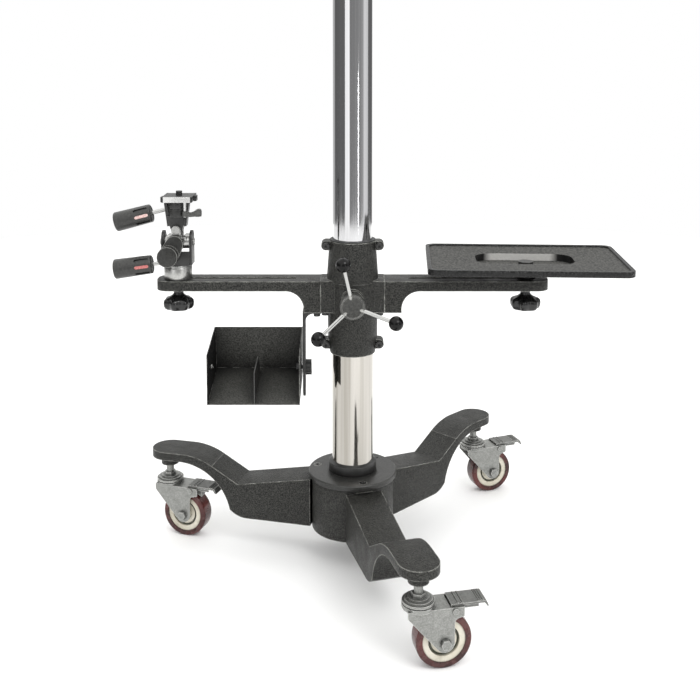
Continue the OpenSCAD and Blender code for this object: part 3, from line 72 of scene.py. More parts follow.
class Finish:
    """A material with its node tree. Its calls add nodes and return the socket to use next."""

    def __init__(self, name, colour, roughness, **sockets):
        self.material = bpy.data.materials.new(name)
        self.material.use_nodes = True
        self.tree = self.material.node_tree
        self.shader = self.tree.nodes["Principled BSDF"]
        self.set("Base Color", (*colour, 1))
        self.set("Roughness", roughness)
        for socket, value in sockets.items():
            self.set(socket.replace("_", " "), value)
        self.place = self.add("ShaderNodeTexCoord").outputs["Object"]

    def set(self, socket, value):
        self.shader.inputs[socket].default_value = value

    def use(self, value, socket):
        self.tree.links.new(value, self.shader.inputs[socket])

    def add(self, kind, inputs=None, **settings):
        return add_node(self.tree, kind, inputs, **settings)

    def noise(self, scale, detail, stretch=(1, 1, 1)):
        """Cloudy noise, drawn out along the axes where the stretch is under 1."""
        place = self.add("ShaderNodeMapping", {"Vector": self.place, "Scale": stretch}).outputs["Vector"]
        return self.add("ShaderNodeTexNoise", {
            "Vector": place, "Scale": scale, "Detail": detail}).outputs["Fac"]

    def cells(self, scale, feature="F1", output="Distance"):
        """Grains like packed cells: how far each point is from its cell's middle, or its cell's colour."""
        return self.add("ShaderNodeTexVoronoi", {
            "Vector": self.place, "Scale": scale}, feature=feature).outputs[output]

    def range(self, value, low, high, to_low=0.0, to_high=1.0):
        """Spreads what lies between low and high over to_low to to_high."""
        return self.add("ShaderNodeMapRange", {
            "Value": value, "From Min": low, "From Max": high,
            "To Min": to_low, "To Max": to_high}).outputs["Result"]

    def patches(self, scale, detail, low, high, to_low=0.0, to_high=1.0, stretch=(1, 1, 1)):
        """Noise spread over a range."""
        return self.range(self.noise(scale, detail, stretch), low, high, to_low, to_high)

    def blend(self, share, first, second):
        """Colour between two colours, each a socket or three numbers."""
        first, second = (value if isinstance(value, bpy.types.NodeSocket) else (*value, 1)
                         for value in (first, second))
        return self.add("ShaderNodeMix", {MIX_SHARE: share, MIX_FIRST: first, MIX_SECOND: second},
                        data_type="RGBA").outputs[MIX_RESULT]

    def sum(self, first, second, operation="ADD"):
        return self.add("ShaderNodeMath", {0: first, 1: second}, operation=operation).outputs[0]

    def part_of(self, vector, axis):
        return self.add("ShaderNodeSeparateXYZ", {"Vector": vector}).outputs[axis]

    def facing(self):
        return self.add("ShaderNodeNewGeometry").outputs["Normal"]

    def edges(self, radius, low, high):
        """1 on edges sharper than the radius, 0 on open faces. It masks the lighter edges, which are painted
        highlight, in some finishes together with wear.
        """
        rounded = self.add("ShaderNodeBevel", {"Radius": radius}, samples=4).outputs["Normal"]
        likeness = self.add("ShaderNodeVectorMath", {0: rounded, 1: self.facing()},
                            operation="DOT_PRODUCT").outputs["Value"]
        return self.range(self.sum(1.0, likeness, "SUBTRACT"), low, high)

    def crease_shade(self, distance, low=0.45, high=0.9):
        """0 deep in grooves and inside corners, 1 on open faces: a mask for painted shade, found by ambient
        occlusion.
        """
        open_share = self.add("ShaderNodeAmbientOcclusion", {"Distance": distance}, samples=6).outputs["AO"]
        return self.range(open_share, low, high)

    def bump(self, *layers):
        """Stacks (height, strength, depth) layers of relief on the shader's normal."""
        normal = None
        for height, strength, depth in layers:
            inputs = {"Height": height, "Strength": strength, "Distance": depth}
            if normal:
                inputs["Normal"] = normal
            normal = self.add("ShaderNodeBump", inputs).outputs["Normal"]
        self.use(normal, "Normal")


def darker(share, colour):
    return tuple(share * level for level in colour)


def cast_paint():
    """Hammered dark grey paint on castings, with painted shade in its grooves and inside corners, and
    lighter along the edges, partly wear and partly painted highlight.
    """
    pit, crest = (0.001, 0.001, 0.001), (0.062, 0.062, 0.056)
    cloud_dark, cloud_light = (0.008, 0.008, 0.0075), (0.019, 0.019, 0.0175)
    crevice_shade, rubbed_and_highlight = (0.002, 0.002, 0.002), (0.55, 0.55, 0.51)
    f = Finish("cast_paint", (0.02, 0.02, 0.019), 0.45, Specular_IOR_Level=0.26)
    grain = f.noise(scale=760, detail=3)
    pits = f.cells(scale=600, feature="SMOOTH_F1")
    hammered = f.blend(f.range(grain, low=0.42, high=0.60), pit, crest)
    cloud = f.blend(f.patches(scale=14, detail=4, low=0.35, high=0.7), cloud_dark, cloud_light)
    painted = f.blend(0.18, hammered, cloud)
    # Painted shade: darker in grooves and inside corners, by ambient occlusion.
    body = f.blend(f.crease_shade(distance=0.006, low=0.3, high=0.8), crevice_shade, painted)
    uneven = f.patches(scale=90, detail=4, low=0.34, high=0.60, to_low=0.15)
    # Lighter edges: partly wear, partly painted highlight.
    wear_and_highlight = f.sum(f.edges(radius=0.0028, low=0.075, high=0.2), uneven, "MULTIPLY")
    f.use(f.blend(wear_and_highlight, body, rubbed_and_highlight), "Base Color")
    f.use(f.patches(scale=45, detail=3, low=0.3, high=0.7, to_low=0.34, to_high=0.50), "Roughness")
    f.bump((pits, 0.8, 0.0010), (grain, 0.8, 0.0010))
    return f.material


def machined_grey(name, dark, light):
    """Smooth dark enamel over turned faces, bright along the edges, partly bare metal and partly painted
    highlight.
    """
    bare_edge_and_highlight = (0.36, 0.36, 0.34)
    f = Finish(name, light, 0.36, Specular_IOR_Level=0.4)
    peel = f.noise(scale=420, detail=3)
    enamel = f.blend(f.patches(scale=480, detail=3, low=0.35, high=0.65), dark, light)
    # Bright edges: partly bare metal, partly painted highlight.
    f.use(f.blend(f.edges(radius=0.0018, low=0.02, high=0.16), enamel, bare_edge_and_highlight), "Base Color")
    f.use(f.range(peel, low=0.3, high=0.7, to_low=0.28, to_high=0.42), "Roughness")
    f.bump((peel, 0.25, 0.0003))
    return f.material


def chrome_tube():
    """Chromed tube with faint draw marks along its length and a few wiped smears."""
    mark, plating = (0.56, 0.56, 0.57), (0.67, 0.67, 0.68)
    f = Finish("chrome_tube", (0.62, 0.62, 0.63), 0.07, Metallic=1.0)
    draw = f.noise(scale=260, detail=3, stretch=(1, 1, 0.004))
    smear = f.patches(scale=9, detail=4, low=0.45, high=0.75, stretch=(1, 1, 0.35))
    waves = f.noise(scale=3, detail=2, stretch=(1, 1, 0.5))
    f.use(f.blend(f.range(draw, low=0.3, high=0.7), mark, plating), "Base Color")
    polish = f.range(draw, low=0.3, high=0.7, to_low=0.04, to_high=0.11)
    f.use(f.sum(polish, f.sum(smear, 0.05, "MULTIPLY")), "Roughness")
    f.bump((draw, 0.05, 0.0002), (waves, 0.08, 0.002))
    return f.material


def zinc(name, shade=1.0):
    """Passivated zinc plating, mottled, with a fine spangle, painted highlights along its edges and painted
    shade in its grooves.
    """
    def grey(level):
        return darker(shade * level, (1.0, 1.01, 0.965))

    crevice_shade, edge_highlight = (0.03, 0.03, 0.028), (0.85, 0.85, 0.82)
    f = Finish(name, grey(0.30), 0.42, Metallic=0.75)
    crystal = f.cells(scale=820, output="Color")
    chance = f.add("ShaderNodeSeparateColor", {"Color": crystal}).outputs["Red"]
    spangle = f.blend(chance, grey(0.19), grey(0.37))
    patch = f.blend(f.patches(scale=110, detail=4, low=0.32, high=0.68), grey(0.22), grey(0.32))
    # Painted shade: darker in grooves, by ambient occlusion.
    body = f.blend(f.crease_shade(distance=0.0045), crevice_shade, f.blend(0.4, spangle, patch))
    # Painted highlight: brighter edges.
    f.use(f.blend(f.edges(radius=0.0010, low=0.03, high=0.2), body, edge_highlight), "Base Color")
    f.use(f.patches(scale=160, detail=4, low=0.3, high=0.7, to_low=0.32, to_high=0.56), "Roughness")
    f.bump((f.noise(scale=900, detail=2), 0.2, 0.0003), (f.noise(scale=60, detail=3), 0.15, 0.0006))
    return f.material


def turned_metal(name, dark, light, rough):
    """Bright turned metal: bolts, pins and rods."""
    f = Finish(name, light, rough, Metallic=1.0)
    lines = f.noise(scale=1400, detail=2, stretch=(1, 1, 0.05))
    f.use(f.blend(f.range(lines, low=0.3, high=0.7), dark, light), "Base Color")
    f.use(f.patches(scale=150, detail=3, low=0.3, high=0.7, to_low=rough - 0.06, to_high=rough + 0.1),
          "Roughness")
    f.bump((lines, 0.08, 0.0001))
    return f.material


def black_oxide(name, dark, light, rough):
    """Blackened steel or powder coat: near black with a fine orange-peel relief, painted shade in its
    grooves, and lighter edges, partly wear and partly painted highlight.
    """
    crevice_shade, worn_edge_and_highlight = (0.001, 0.001, 0.001), tuple(4 * level + 0.03 for level in light)
    f = Finish(name, light, rough, Specular_IOR_Level=0.5)
    peel = f.noise(scale=380, detail=3)
    coat = f.blend(f.patches(scale=30, detail=4, low=0.35, high=0.65), dark, light)
    # Painted shade: darker in grooves, by ambient occlusion.
    body = f.blend(f.crease_shade(distance=0.008, low=0.25, high=0.8), crevice_shade, coat)
    # Lighter edges: partly wear, partly painted highlight.
    f.use(f.blend(f.edges(radius=0.0012, low=0.03, high=0.2), body, worn_edge_and_highlight), "Base Color")
    f.use(f.range(peel, low=0.3, high=0.7, to_low=rough - 0.08, to_high=rough + 0.1), "Roughness")
    f.bump((peel, 0.2, 0.0003))
    return f.material


def moulded_plastic(name, dark, light, rough, relief=0.15, gloss=0.5, smoothest=0.03):
    """Moulded plastic with a faint mould grain, and painted shade in its grooves and inside corners."""
    f = Finish(name, light, rough, Specular_IOR_Level=gloss)
    grain = f.noise(scale=900, detail=2)
    mottle = f.blend(f.patches(scale=420, detail=3, low=0.35, high=0.65), dark, light)
    # Painted shade: darker in grooves and inside corners, by ambient occlusion.
    f.use(f.blend(f.crease_shade(distance=0.006, low=0.25, high=0.8), darker(0.1, dark), mottle), "Base Color")
    f.use(f.range(grain, low=0.3, high=0.7, to_low=max(rough - 0.05, smoothest), to_high=rough + 0.06),
          "Roughness")
    f.bump((grain, relief, 0.00015))
    return f.material


def bin_sheet(left_wall=-0.2185, soft=0.0006):
    """Powder-coated sheet of the bin: grained grey, bright along its edges and bends, partly wear and partly
    painted highlight, with painted shade in its inside corners and a painted shadow on its left wall.
    """
    pit, crest = (0.018, 0.018, 0.016), (0.085, 0.085, 0.078)
    shaded, worn_edge_and_highlight = (0.003, 0.003, 0.003), (0.30, 0.30, 0.28)
    f = Finish("bin_sheet", (0.03, 0.03, 0.028), 0.5, Specular_IOR_Level=0.35)
    grain = f.patches(scale=520, detail=3, low=0.38, high=0.62)
    coat = f.blend(grain, pit, crest)
    # Painted shadow: the sheet beyond left_wall, the bin's left wall, is dark.
    left_wall_shade = f.range(f.part_of(f.place, "X"), left_wall - soft, left_wall + soft / 3, to_low=1, to_high=0)
    # Painted shade: darker in inside corners, by ambient occlusion.
    body = f.blend(left_wall_shade, f.blend(f.crease_shade(distance=0.045, low=0.30, high=0.85), shaded, coat), shaded)
    uneven = f.patches(scale=60, detail=4, low=0.45, high=0.55)
    # Bright edges and bends: partly wear, partly painted highlight.
    wear_and_highlight = f.sum(f.edges(radius=0.0014, low=0.05, high=0.3), uneven, "MULTIPLY")
    f.use(f.blend(wear_and_highlight, body, worn_edge_and_highlight), "Base Color")
    f.use(f.range(grain, low=0, high=1, to_low=0.42, to_high=0.58), "Roughness")
    f.bump((grain, 0.3, 0.0004))
    return f.material


def satin_metal(name, dark, light, rough, metallic=1.0):
    """Cast and tumbled metal: a fine even grain under a satin shine, with painted highlights along its
    edges.
    """
    edge_highlight = tuple(min(1.3 * level, 0.9) for level in light)
    f = Finish(name, light, rough, Metallic=metallic)
    grain = f.noise(scale=1100, detail=3)
    satin = f.blend(f.range(grain, low=0.35, high=0.65), dark, light)
    # Painted highlight: brighter edges.
    f.use(f.blend(f.edges(radius=0.0006, low=0.05, high=0.3), satin, edge_highlight), "Base Color")
    f.use(f.patches(scale=700, detail=3, low=0.3, high=0.7, to_low=rough - 0.05, to_high=rough + 0.06),
          "Roughness")
    f.bump((grain, 0.2, 0.0002))
    return f.material


def nickel():
    """Nickel-plated sleeve: warmer than chrome, with wide vertical bands that are painted reflection
    streaks, and soft draw marks along it.
    """
    reflection_dark, reflection_light = (0.34, 0.32, 0.285), (0.54, 0.515, 0.48)
    fine_dark, fine_light = (0.34, 0.325, 0.30), (0.60, 0.58, 0.55)
    f = Finish("sleeve", (0.5, 0.475, 0.44), 0.1, Metallic=1.0)
    # Painted reflection: wide vertical streaks.
    reflection_streaks = f.patches(scale=55, detail=2, low=0.36, high=0.62, stretch=(1, 1, 0.02))
    fine = f.patches(scale=320, detail=2, low=0.3, high=0.7, stretch=(1, 1, 0.01))
    bands, marks = f.blend(reflection_streaks, reflection_dark, reflection_light), f.blend(fine, fine_dark, fine_light)
    f.use(f.blend(0.3, bands, marks), "Base Color")
    f.use(f.range(fine, low=0, high=1, to_low=0.07, to_high=0.14), "Roughness")
    f.bump((fine, 0.05, 0.0002))
    return f.material


def lugged(name, centre, half, outer, inner, metallic, soft=0.0004):
    """Metal plate whose ends, beyond half its bright length along X, are black: blackened lugs on the
    platform, and a painted dark reflection on the curved ends of the recess liner.
    """
    f = Finish(name, inner, 0.34)
    away = f.sum(f.sum(f.part_of(f.place, "X"), centre, "SUBTRACT"), 0.0, "ABSOLUTE")
    ends = f.range(away, half - soft, half + soft)
    grain = f.patches(scale=900, detail=3, low=0.35, high=0.65)
    bright = f.blend(grain, darker(0.82, inner), inner)
    black = f.blend(grain, darker(0.5, outer), outer)
    f.use(f.blend(ends, bright, black), "Base Color")
    f.use(f.patches(scale=500, detail=3, low=0.3, high=0.7, to_low=0.28, to_high=0.40), "Roughness")
    f.use(f.range(ends, low=0, high=1, to_low=metallic, to_high=0.1), "Metallic")
    f.bump((f.noise(scale=1000, detail=2), 0.15, 0.0002))
    return f.material


def tyre_red():
    """Dark red polyurethane, cloudy with bloom and scuffs, under a soft gloss."""
    deep, bloom, scuffed = (0.030, 0.007, 0.007), (0.105, 0.024, 0.021), (0.13, 0.054, 0.048)
    f = Finish("tyre_red", (0.08, 0.016, 0.018), 0.3, Coat_Weight=0.2, Coat_Roughness=0.08,
               Specular_IOR_Level=0.35)
    scuff = f.patches(scale=85, detail=5, low=0.50, high=0.70)
    cloudy = f.blend(f.patches(scale=32, detail=4, low=0.38, high=0.62), deep, bloom)
    f.use(f.blend(f.sum(scuff, 0.5, "MULTIPLY"), cloudy, scuffed), "Base Color")
    f.use(f.range(scuff, low=0, high=1, to_low=0.22, to_high=0.46), "Roughness")
    f.bump((f.noise(scale=420, detail=3), 0.2, 0.0004))
    return f.material


def rim_cream():
    """Cream nylon of the rims, a little soiled in patches, with painted shade in its grooves."""
    dull, clean = (0.57, 0.53, 0.43), (0.68, 0.645, 0.55)
    dirt, crevice_shade = (0.30, 0.27, 0.21), (0.10, 0.105, 0.075)
    f = Finish("rim_cream", (0.60, 0.56, 0.46), 0.4, Specular_IOR_Level=0.45)
    nylon = f.blend(f.patches(scale=40, detail=3, low=0.35, high=0.65), dull, clean)
    soil = f.patches(scale=120, detail=5, low=0.52, high=0.75)
    soiled = f.blend(f.sum(soil, 0.4, "MULTIPLY"), nylon, dirt)
    # Painted shade: darker in grooves, by ambient occlusion.
    f.use(f.blend(f.crease_shade(distance=0.005, low=0.35, high=0.85), crevice_shade, soiled), "Base Color")
    f.use(f.patches(scale=150, detail=2, low=0.3, high=0.7, to_low=0.34, to_high=0.5), "Roughness")
    f.bump((f.noise(scale=700, detail=2), 0.12, 0.0002))
    return f.material


def mat(rim_z=0.4764, soft=0.0002):
    """Stippled dark mat of the tray, inside a smooth black rim that is also black down its sides, with
    lighter edges, partly wear and partly painted highlight.
    """
    pit, crest = (0.002, 0.002, 0.002), (0.084, 0.083, 0.076)
    cloud_dark, cloud_light = (0.021, 0.021, 0.020), (0.034, 0.034, 0.031)
    rim_black, worn_edge_and_highlight = (0.006, 0.006, 0.006), (0.22, 0.22, 0.20)
    f = Finish("mat", (0.04, 0.04, 0.037), 0.6, Specular_IOR_Level=0.35)
    dots = f.cells(scale=300)
    stipple = f.blend(f.patches(scale=330, detail=3, low=0.38, high=0.62), pit, crest)
    cloud = f.blend(f.patches(scale=12, detail=4, low=0.35, high=0.65), cloud_dark, cloud_light)
    side = f.range(f.part_of(f.facing(), "Z"), low=0.5, high=0.8, to_low=1, to_high=0)
    rim = f.sum(f.range(f.part_of(f.place, "Z"), rim_z - soft, rim_z + soft), side, "MAXIMUM")
    body = f.blend(rim, f.blend(0.15, stipple, cloud), rim_black)
    # Lighter edges: partly wear, partly painted highlight.
    wear_and_highlight = f.sum(f.edges(radius=0.0012, low=0.08, high=0.35), 0.5, "MULTIPLY")
    f.use(f.blend(wear_and_highlight, body, worn_edge_and_highlight), "Base Color")
    f.use(f.range(rim, low=0, high=1, to_low=0.6, to_high=0.3), "Roughness")
    f.bump((f.range(dots, low=0.15, high=0.6, to_low=1, to_high=0), 0.7, 0.0009))
    return f.material


FINISH = {
    "cast_paint": cast_paint(),
    "machined_grey": machined_grey("machined_grey", (0.012, 0.012, 0.011), (0.032, 0.032, 0.030)),
    "hub_grey": machined_grey("hub_grey", (0.026, 0.026, 0.024), (0.056, 0.056, 0.052)),
    "chrome_tube": chrome_tube(),
    "zinc": zinc("zinc"),
    "pedal_zinc": zinc("pedal_zinc", shade=0.6),
    "steel": turned_metal("steel", (0.62, 0.62, 0.60), (0.78, 0.78, 0.76), rough=0.25),
    "black_steel": black_oxide("black_steel", (0.010, 0.010, 0.010), (0.022, 0.022, 0.021), rough=0.38),
    "black_plastic": moulded_plastic("black_plastic", (0.008, 0.008, 0.008), (0.02, 0.02, 0.02),
                                     rough=0.42),
    "knob_gloss": moulded_plastic("knob_gloss", (0.005, 0.005, 0.005), (0.013, 0.013, 0.013),
                                  rough=0.2, relief=0.08),
    "ball_plastic": moulded_plastic("ball_plastic", (0.002, 0.002, 0.002), (0.005, 0.005, 0.005),
                                    rough=0.10, relief=0.02, gloss=0.22),
    "alloy": satin_metal("alloy", (0.36, 0.36, 0.35), (0.56, 0.56, 0.545), rough=0.33),
    "sleeve": nickel(),
    "bin_sheet": bin_sheet(),
    "rod_chrome": satin_metal("rod_chrome", (0.40, 0.40, 0.39), (0.52, 0.52, 0.51), rough=0.16),
    "lever_grey": satin_metal("lever_grey", (0.05, 0.05, 0.048), (0.15, 0.15, 0.145), rough=0.32,
                              metallic=0.6),
    "platform": lugged("platform", centre=-0.267, half=0.0205, outer=(0.014, 0.014, 0.014),
                       inner=(0.70, 0.70, 0.69), metallic=0.5),
    # The recess liner's dark curved ends are painted dark reflection.
    "recess": lugged("recess", centre=0.264, half=0.052, outer=(0.006, 0.006, 0.006),
                     inner=(0.62, 0.61, 0.59), metallic=0.2, soft=0.006),
    "tyre_red": tyre_red(),
    "rim_cream": rim_cream(),
    "liner": moulded_plastic("liner", (0.014, 0.014, 0.014), (0.03, 0.03, 0.03), rough=0.5),
    "mat": mat(),
    "grip_plastic": moulded_plastic("grip_plastic", (0.018, 0.018, 0.017), (0.036, 0.036, 0.034),
                                    rough=0.35, relief=0.3),
    "inlay_pink": moulded_plastic("inlay_pink", (0.60, 0.36, 0.34), (0.80, 0.62, 0.58),
                                  rough=0.4, relief=0.1),
    "inlay_red": moulded_plastic("inlay_red", (0.42, 0.10, 0.10), (0.62, 0.24, 0.22),
                                 rough=0.4, relief=0.1),
}


# Shared modifiers of the CAD nodes

SMOOTH_ANGLE = 32  # degrees, above which an edge stays sharp
FLAT_ANGLE = 0.4   # degrees, below which two faces show as one
WELD_GAP = 1e-5    # metres


def smooth_group(angle):
    """Geometry nodes that smooth every edge flatter than the angle."""
    group = bpy.data.node_groups.new(f"smooth_{angle}", "GeometryNodeTree")
    for way in ("INPUT", "OUTPUT"):
        group.interface.new_socket("Geometry", in_out=way, socket_type="NodeSocketGeometry")
    start = add_node(group, "NodeGroupInput")
    bend = add_node(group, "GeometryNodeInputMeshEdgeAngle").outputs["Unsigned Angle"]
    flat = add_node(group, "FunctionNodeCompare", {0: bend, 1: math.radians(angle)},
                    data_type="FLOAT", operation="LESS_EQUAL")
    faces = add_node(group, "GeometryNodeSetShadeSmooth", {"Geometry": start.outputs[0]})
    edges = add_node(group, "GeometryNodeSetShadeSmooth", {
        "Geometry": faces.outputs[0], "Shade Smooth": flat.outputs[0]}, domain="EDGE")
    add_node(group, "NodeGroupOutput", {0: edges.outputs[0]})
    return group


SMOOTH = smooth_group(SMOOTH_ANGLE)


def smooth(obj):
    obj.modifiers.new("smooth", "NODES").node_group = SMOOTH


def round_edges(obj, width):
    bevel = obj.modifiers.new("round", "BEVEL")
    bevel.width = width
    bevel.segments = 2
    bevel.limit_method = "ANGLE"
    bevel.angle_limit = math.radians(SMOOTH_ANGLE)
    bevel.use_clamp_overlap = True
    bevel.harden_normals = False


def dress_node(name, finish, bevel):
    """Gives a CAD node its finish, and joins, flattens, rounds and smooths how it shows."""
    obj = frame["nodes"][name]
    obj.data.materials.clear()
    obj.data.materials.append(FINISH[finish])
    obj.modifiers.new("join", "WELD").merge_threshold = WELD_GAP
    flat = obj.modifiers.new("flatten", "DECIMATE")
    flat.decimate_type = "DISSOLVE"
    flat.angle_limit = math.radians(FLAT_ANGLE)
    if bevel:
        round_edges(obj, bevel)
    smooth(obj)


# Width of each node's rounded edges, in millimetres
BEVELS = {
    "base_hub": 1.5, "left_leg": 1.6, "right_leg": 1.6, "front_leg": 1.6, "hub_cover": 0.8,
    "foot_ring": 0.5, "collar_front": 0.9, "collar_rear": 0.9, "left_arm": 1.2, "right_arm": 1.2,
    "bin_bracket": 0.5, "head_base": 0.5, "pan_frame": 0.8, "clamp_housing": 1.0,
    "tilt_block": 0.5, "tilt_yoke": 0.6, "platform": 0.5, "camera_plate": 0.5,
    "release_lever": 0.5, "handwheel_hub": 0.4, "tray_plate": 0.6, "base_screws": 0.3,
    "collar_bolts": 0.3, "arm_bolts": 0.3, "bin_knob": 0.6, "tray_bolt": 0.3}

# Nodes that look different from their slot
OTHER_FINISH = {
    "collar_bolts": "black_steel", "base_screws": "black_steel", "arm_bolts": "black_steel",
    "tray_bolt": "black_steel", "bin_divider": "black_steel", "bin_bracket": "black_steel",
    "stop_sleeve": "sleeve", "bin_shell": "bin_sheet", "platform": "platform",
    "handwheel_rods": "rod_chrome", "lower_rod": "rod_chrome", "upper_rod": "rod_chrome",
    "release_lever": "lever_grey", "handwheel_hub": "hub_grey",
    "left_brake_pedal": "pedal_zinc", "right_brake_pedal": "pedal_zinc",
    "front_brake_pedal": "pedal_zinc"}

for part in frame["record"]["subparts"]:
    finish = OTHER_FINISH.get(part["node"], part["material_slot"])
    dress_node(part["node"], finish, BEVELS.get(part["node"], 0) * MM)


# Pieces that show more than their solids. Their shapes are in millimetres.

def mesh_from(name, bm):
    """Mesh in metres of a shape that was built in millimetres."""
    bmesh.ops.recalc_face_normals(bm, faces=bm.faces)
    mesh = bpy.data.meshes.new(name)
    bm.to_mesh(mesh)
    bm.free()
    mesh.transform(Matrix.Scale(MM, 4))
    return mesh


def linked(name, mesh):
    obj = bpy.data.objects.new(name, mesh)
    scene.collection.objects.link(obj)
    return obj


def placed(name, bm, body, slot, finish=None):
    """Makes the object of a shape, with its finish and the body that carries it."""
    obj = linked(name, mesh_from(name, bm))
    obj.data.materials.append(FINISH[finish or slot])
    smooth(obj)
    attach(obj, body)
    return obj


def turned(bm, rings, sides, place=Matrix(), lobes=0):
    """Closed solid from rings of (height, radius, share), where share is the depth of its lobes."""
    loops = []
    for height, radius, *share in rings:
        swell = share[0] if share else 0.0
        loop = []
        for i in range(sides if radius else 1):
            turn = math.tau * i / sides
            reach = radius * (1 + swell * math.cos(lobes * turn))
            spot = Vector((reach * math.cos(turn), reach * math.sin(turn), height))
            loop.append(bm.verts.new(place @ spot))
        loops.append(loop)
    for low, high in zip(loops, loops[1:]):
        for i in range(sides):
            j = (i + 1) % sides
            corners = [low[i % len(low)], low[j % len(low)], high[j % len(high)], high[i % len(high)]]
            bm.faces.new(list(dict.fromkeys(corners)))


def strip(bm, first, second):
    """Faces between two closed rows of points."""
    for i in range(len(first)):
        j = (i + 1) % len(first)
        bm.faces.new((first[j], first[i], second[i], second[j]))


def slab_from(bm, points, low, high, place):
    """Prism of (across, along) points between two depths towards the front."""
    rows = [[bm.verts.new(place @ Vector((x, -depth, z))) for x, z in points] for depth in (low, high)]
    bm.faces.new(rows[0])
    bm.faces.new(list(reversed(rows[1])))
    strip(bm, *rows)


def along(start, end):
    """Frame whose Z runs from start to end, and whose X lies level."""
    z = (Vector(end) - Vector(start)).normalized()
    x = Vector((0, 0, 1)).cross(z).normalized()
    turn = Matrix((x, z.cross(x), z)).transposed().to_4x4()
    return Matrix.Translation(start) @ turn


def turned_about_z(degrees):
    return Matrix.Rotation(math.radians(degrees), 4, "Z")


# Clamp knobs, with their foot, waist, lobes and dished underside, from the top down
KNOB_LOBES, KNOB_SIDES, KNOB_TOP = 7, 112, 427.2
KNOB_RINGS = (
    (0, 0), (0, 8.4), (-0.8, 9.3), (-2.4, 9.3), (-3.4, 8.0), (-6.5, 7.4), (-9.5, 8.4), (-12, 11.5),
    (-14.2, 16.0, 0.03), (-15.8, 19.4, 0.07), (-18, 21.2, 0.09), (-22, 21.9, 0.095), (-27, 21.6, 0.09),
    (-30.6, 20.2, 0.08), (-32.4, 18.0, 0.06), (-33, 16.0, 0.03), (-32.6, 14.2), (-30.4, 12.4),
    (-28.4, 10.6), (-28, 8.6), (-28, 0))
STUD_R, STUD_PITCH, STUD_THREAD, STUD_POINT, STUD_SIDES, STUD_SUNK = 4.5, 1.5, 0.7, 1.0, 24, 1.0


def clamp_knob(name, node, x, stud=0.0):
    """Lobed knob with a waisted neck and a dished foot, and its threaded stud where it has one."""
    bm = bmesh.new()
    turned(bm, KNOB_RINGS, KNOB_SIDES, Matrix.Translation((x, 0, KNOB_TOP)), KNOB_LOBES)
    if stud:
        root = STUD_R - STUD_THREAD
        rings = [(0, 0), (0, root)]
        for i in range(int(stud / STUD_PITCH) - 1):
            rings += [(STUD_PITCH * i, STUD_R), (STUD_PITCH * (i + 0.5), root)]
        rings += [(stud, STUD_R - STUD_POINT), (stud, 0)]
        turned(bm, rings, STUD_SIDES, Matrix.Translation((x, 0, KNOB_TOP - STUD_SUNK)))
    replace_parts(placed(name, bm, node, "black_plastic", "knob_gloss"), node)


clamp_knob("head_clamp_knob", "head_knob", x=-270, stud=33.2)
clamp_knob("tray_clamp_knob", "tray_knob", x=268)


# Thumb lever of the quick release: its side view, whose end curves up, and the layers that are cut from
# it, each with the place along the lever where it begins and its two depths
LEVER_AT, LEVER_TURN = (-256, -15.2, 541.5), 8
LEVER_SIDE = (
    (0, 0), (8, -0.4), (16, 0.1), (21, 0), (25, 0.6), (25.6, 3), (25.5, 8), (24.6, 10.6),
    (22, 11.4), (19, 10.9), (16, 9.2), (13, 7.4), (9, 6.3), (4, 6.6), (0, 7.6))
LEVER_LAYERS = ((0, -0.8, 4.2), (16, 3.4, 6.4), (16, -3.2, 0.0))
LEVER_HUB = ((0, 0), (0, 3.8), (0.4, 4.2), (7.6, 4.2), (8.0, 3.8), (8.0, 0))

lever = bmesh.new()
lever_place = Matrix.Translation(LEVER_AT) @ turned_about_z(LEVER_TURN)
for first, low, high in LEVER_LAYERS:
    slab_from(lever, [(x, z) for x, z in LEVER_SIDE if x >= first], low, high, lever_place)
turned(lever, LEVER_HUB, 36, lever_place)
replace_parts(placed("release_thumb_lever", lever, "release_lever", "steel", "lever_grey"), "release_lever")


# Round head of the screw that carries the bin's left wall, inside that wall
SCREW_AT, SCREW_TOWARDS = (-219.8, -5, 303), (-210, -5, 303)
SCREW_HEAD = ((0, 0), (0, 4.2), (0.7, 4.2), (1.6, 3.4), (2.2, 2.0), (2.2, 1.2), (1.5, 1.1), (1.5, 0))

screw = bmesh.new()
turned(screw, SCREW_HEAD, 32, along(SCREW_AT, SCREW_TOWARDS))
placed("bin_pivot_screw", screw, "bin", "steel")


def recess_liner(x, y, turn, length, width, corner, low, high, gap=0.05, wall=0.45, steps=8):
    """Bare wall of the tray's recess: a low ring of round-cornered outline, a hair off the tray."""
    bm = bmesh.new()
    place = Matrix.Translation((x, y, 0)) @ turned_about_z(turn)
    middles = [(length / 2 - corner, width / 2 - corner), (corner - length / 2, width / 2 - corner),
               (corner - length / 2, corner - width / 2), (length / 2 - corner, corner - width / 2)]
    rows = []
    for inset, z in ((gap, low), (gap, high), (wall, high), (wall, low)):
        row = []
        for quarter, (across, deep) in enumerate(middles):
            for step in range(steps + 1):
                bend = math.pi / 2 * (quarter + step / steps)
                spot = Vector((across + (corner - inset) * math.cos(bend),
                               deep + (corner - inset) * math.sin(bend), z))
                row.append(bm.verts.new(place @ spot))
        rows.append(row)
    for first, second in zip(rows, rows[1:] + rows[:1]):
        strip(bm, first, second)
    placed("tray_recess_liner", bm, "tray", "steel", "recess")


recess_liner(x=264, y=-10, turn=-3, length=150, width=78, corner=26, low=464.1, high=474.8)


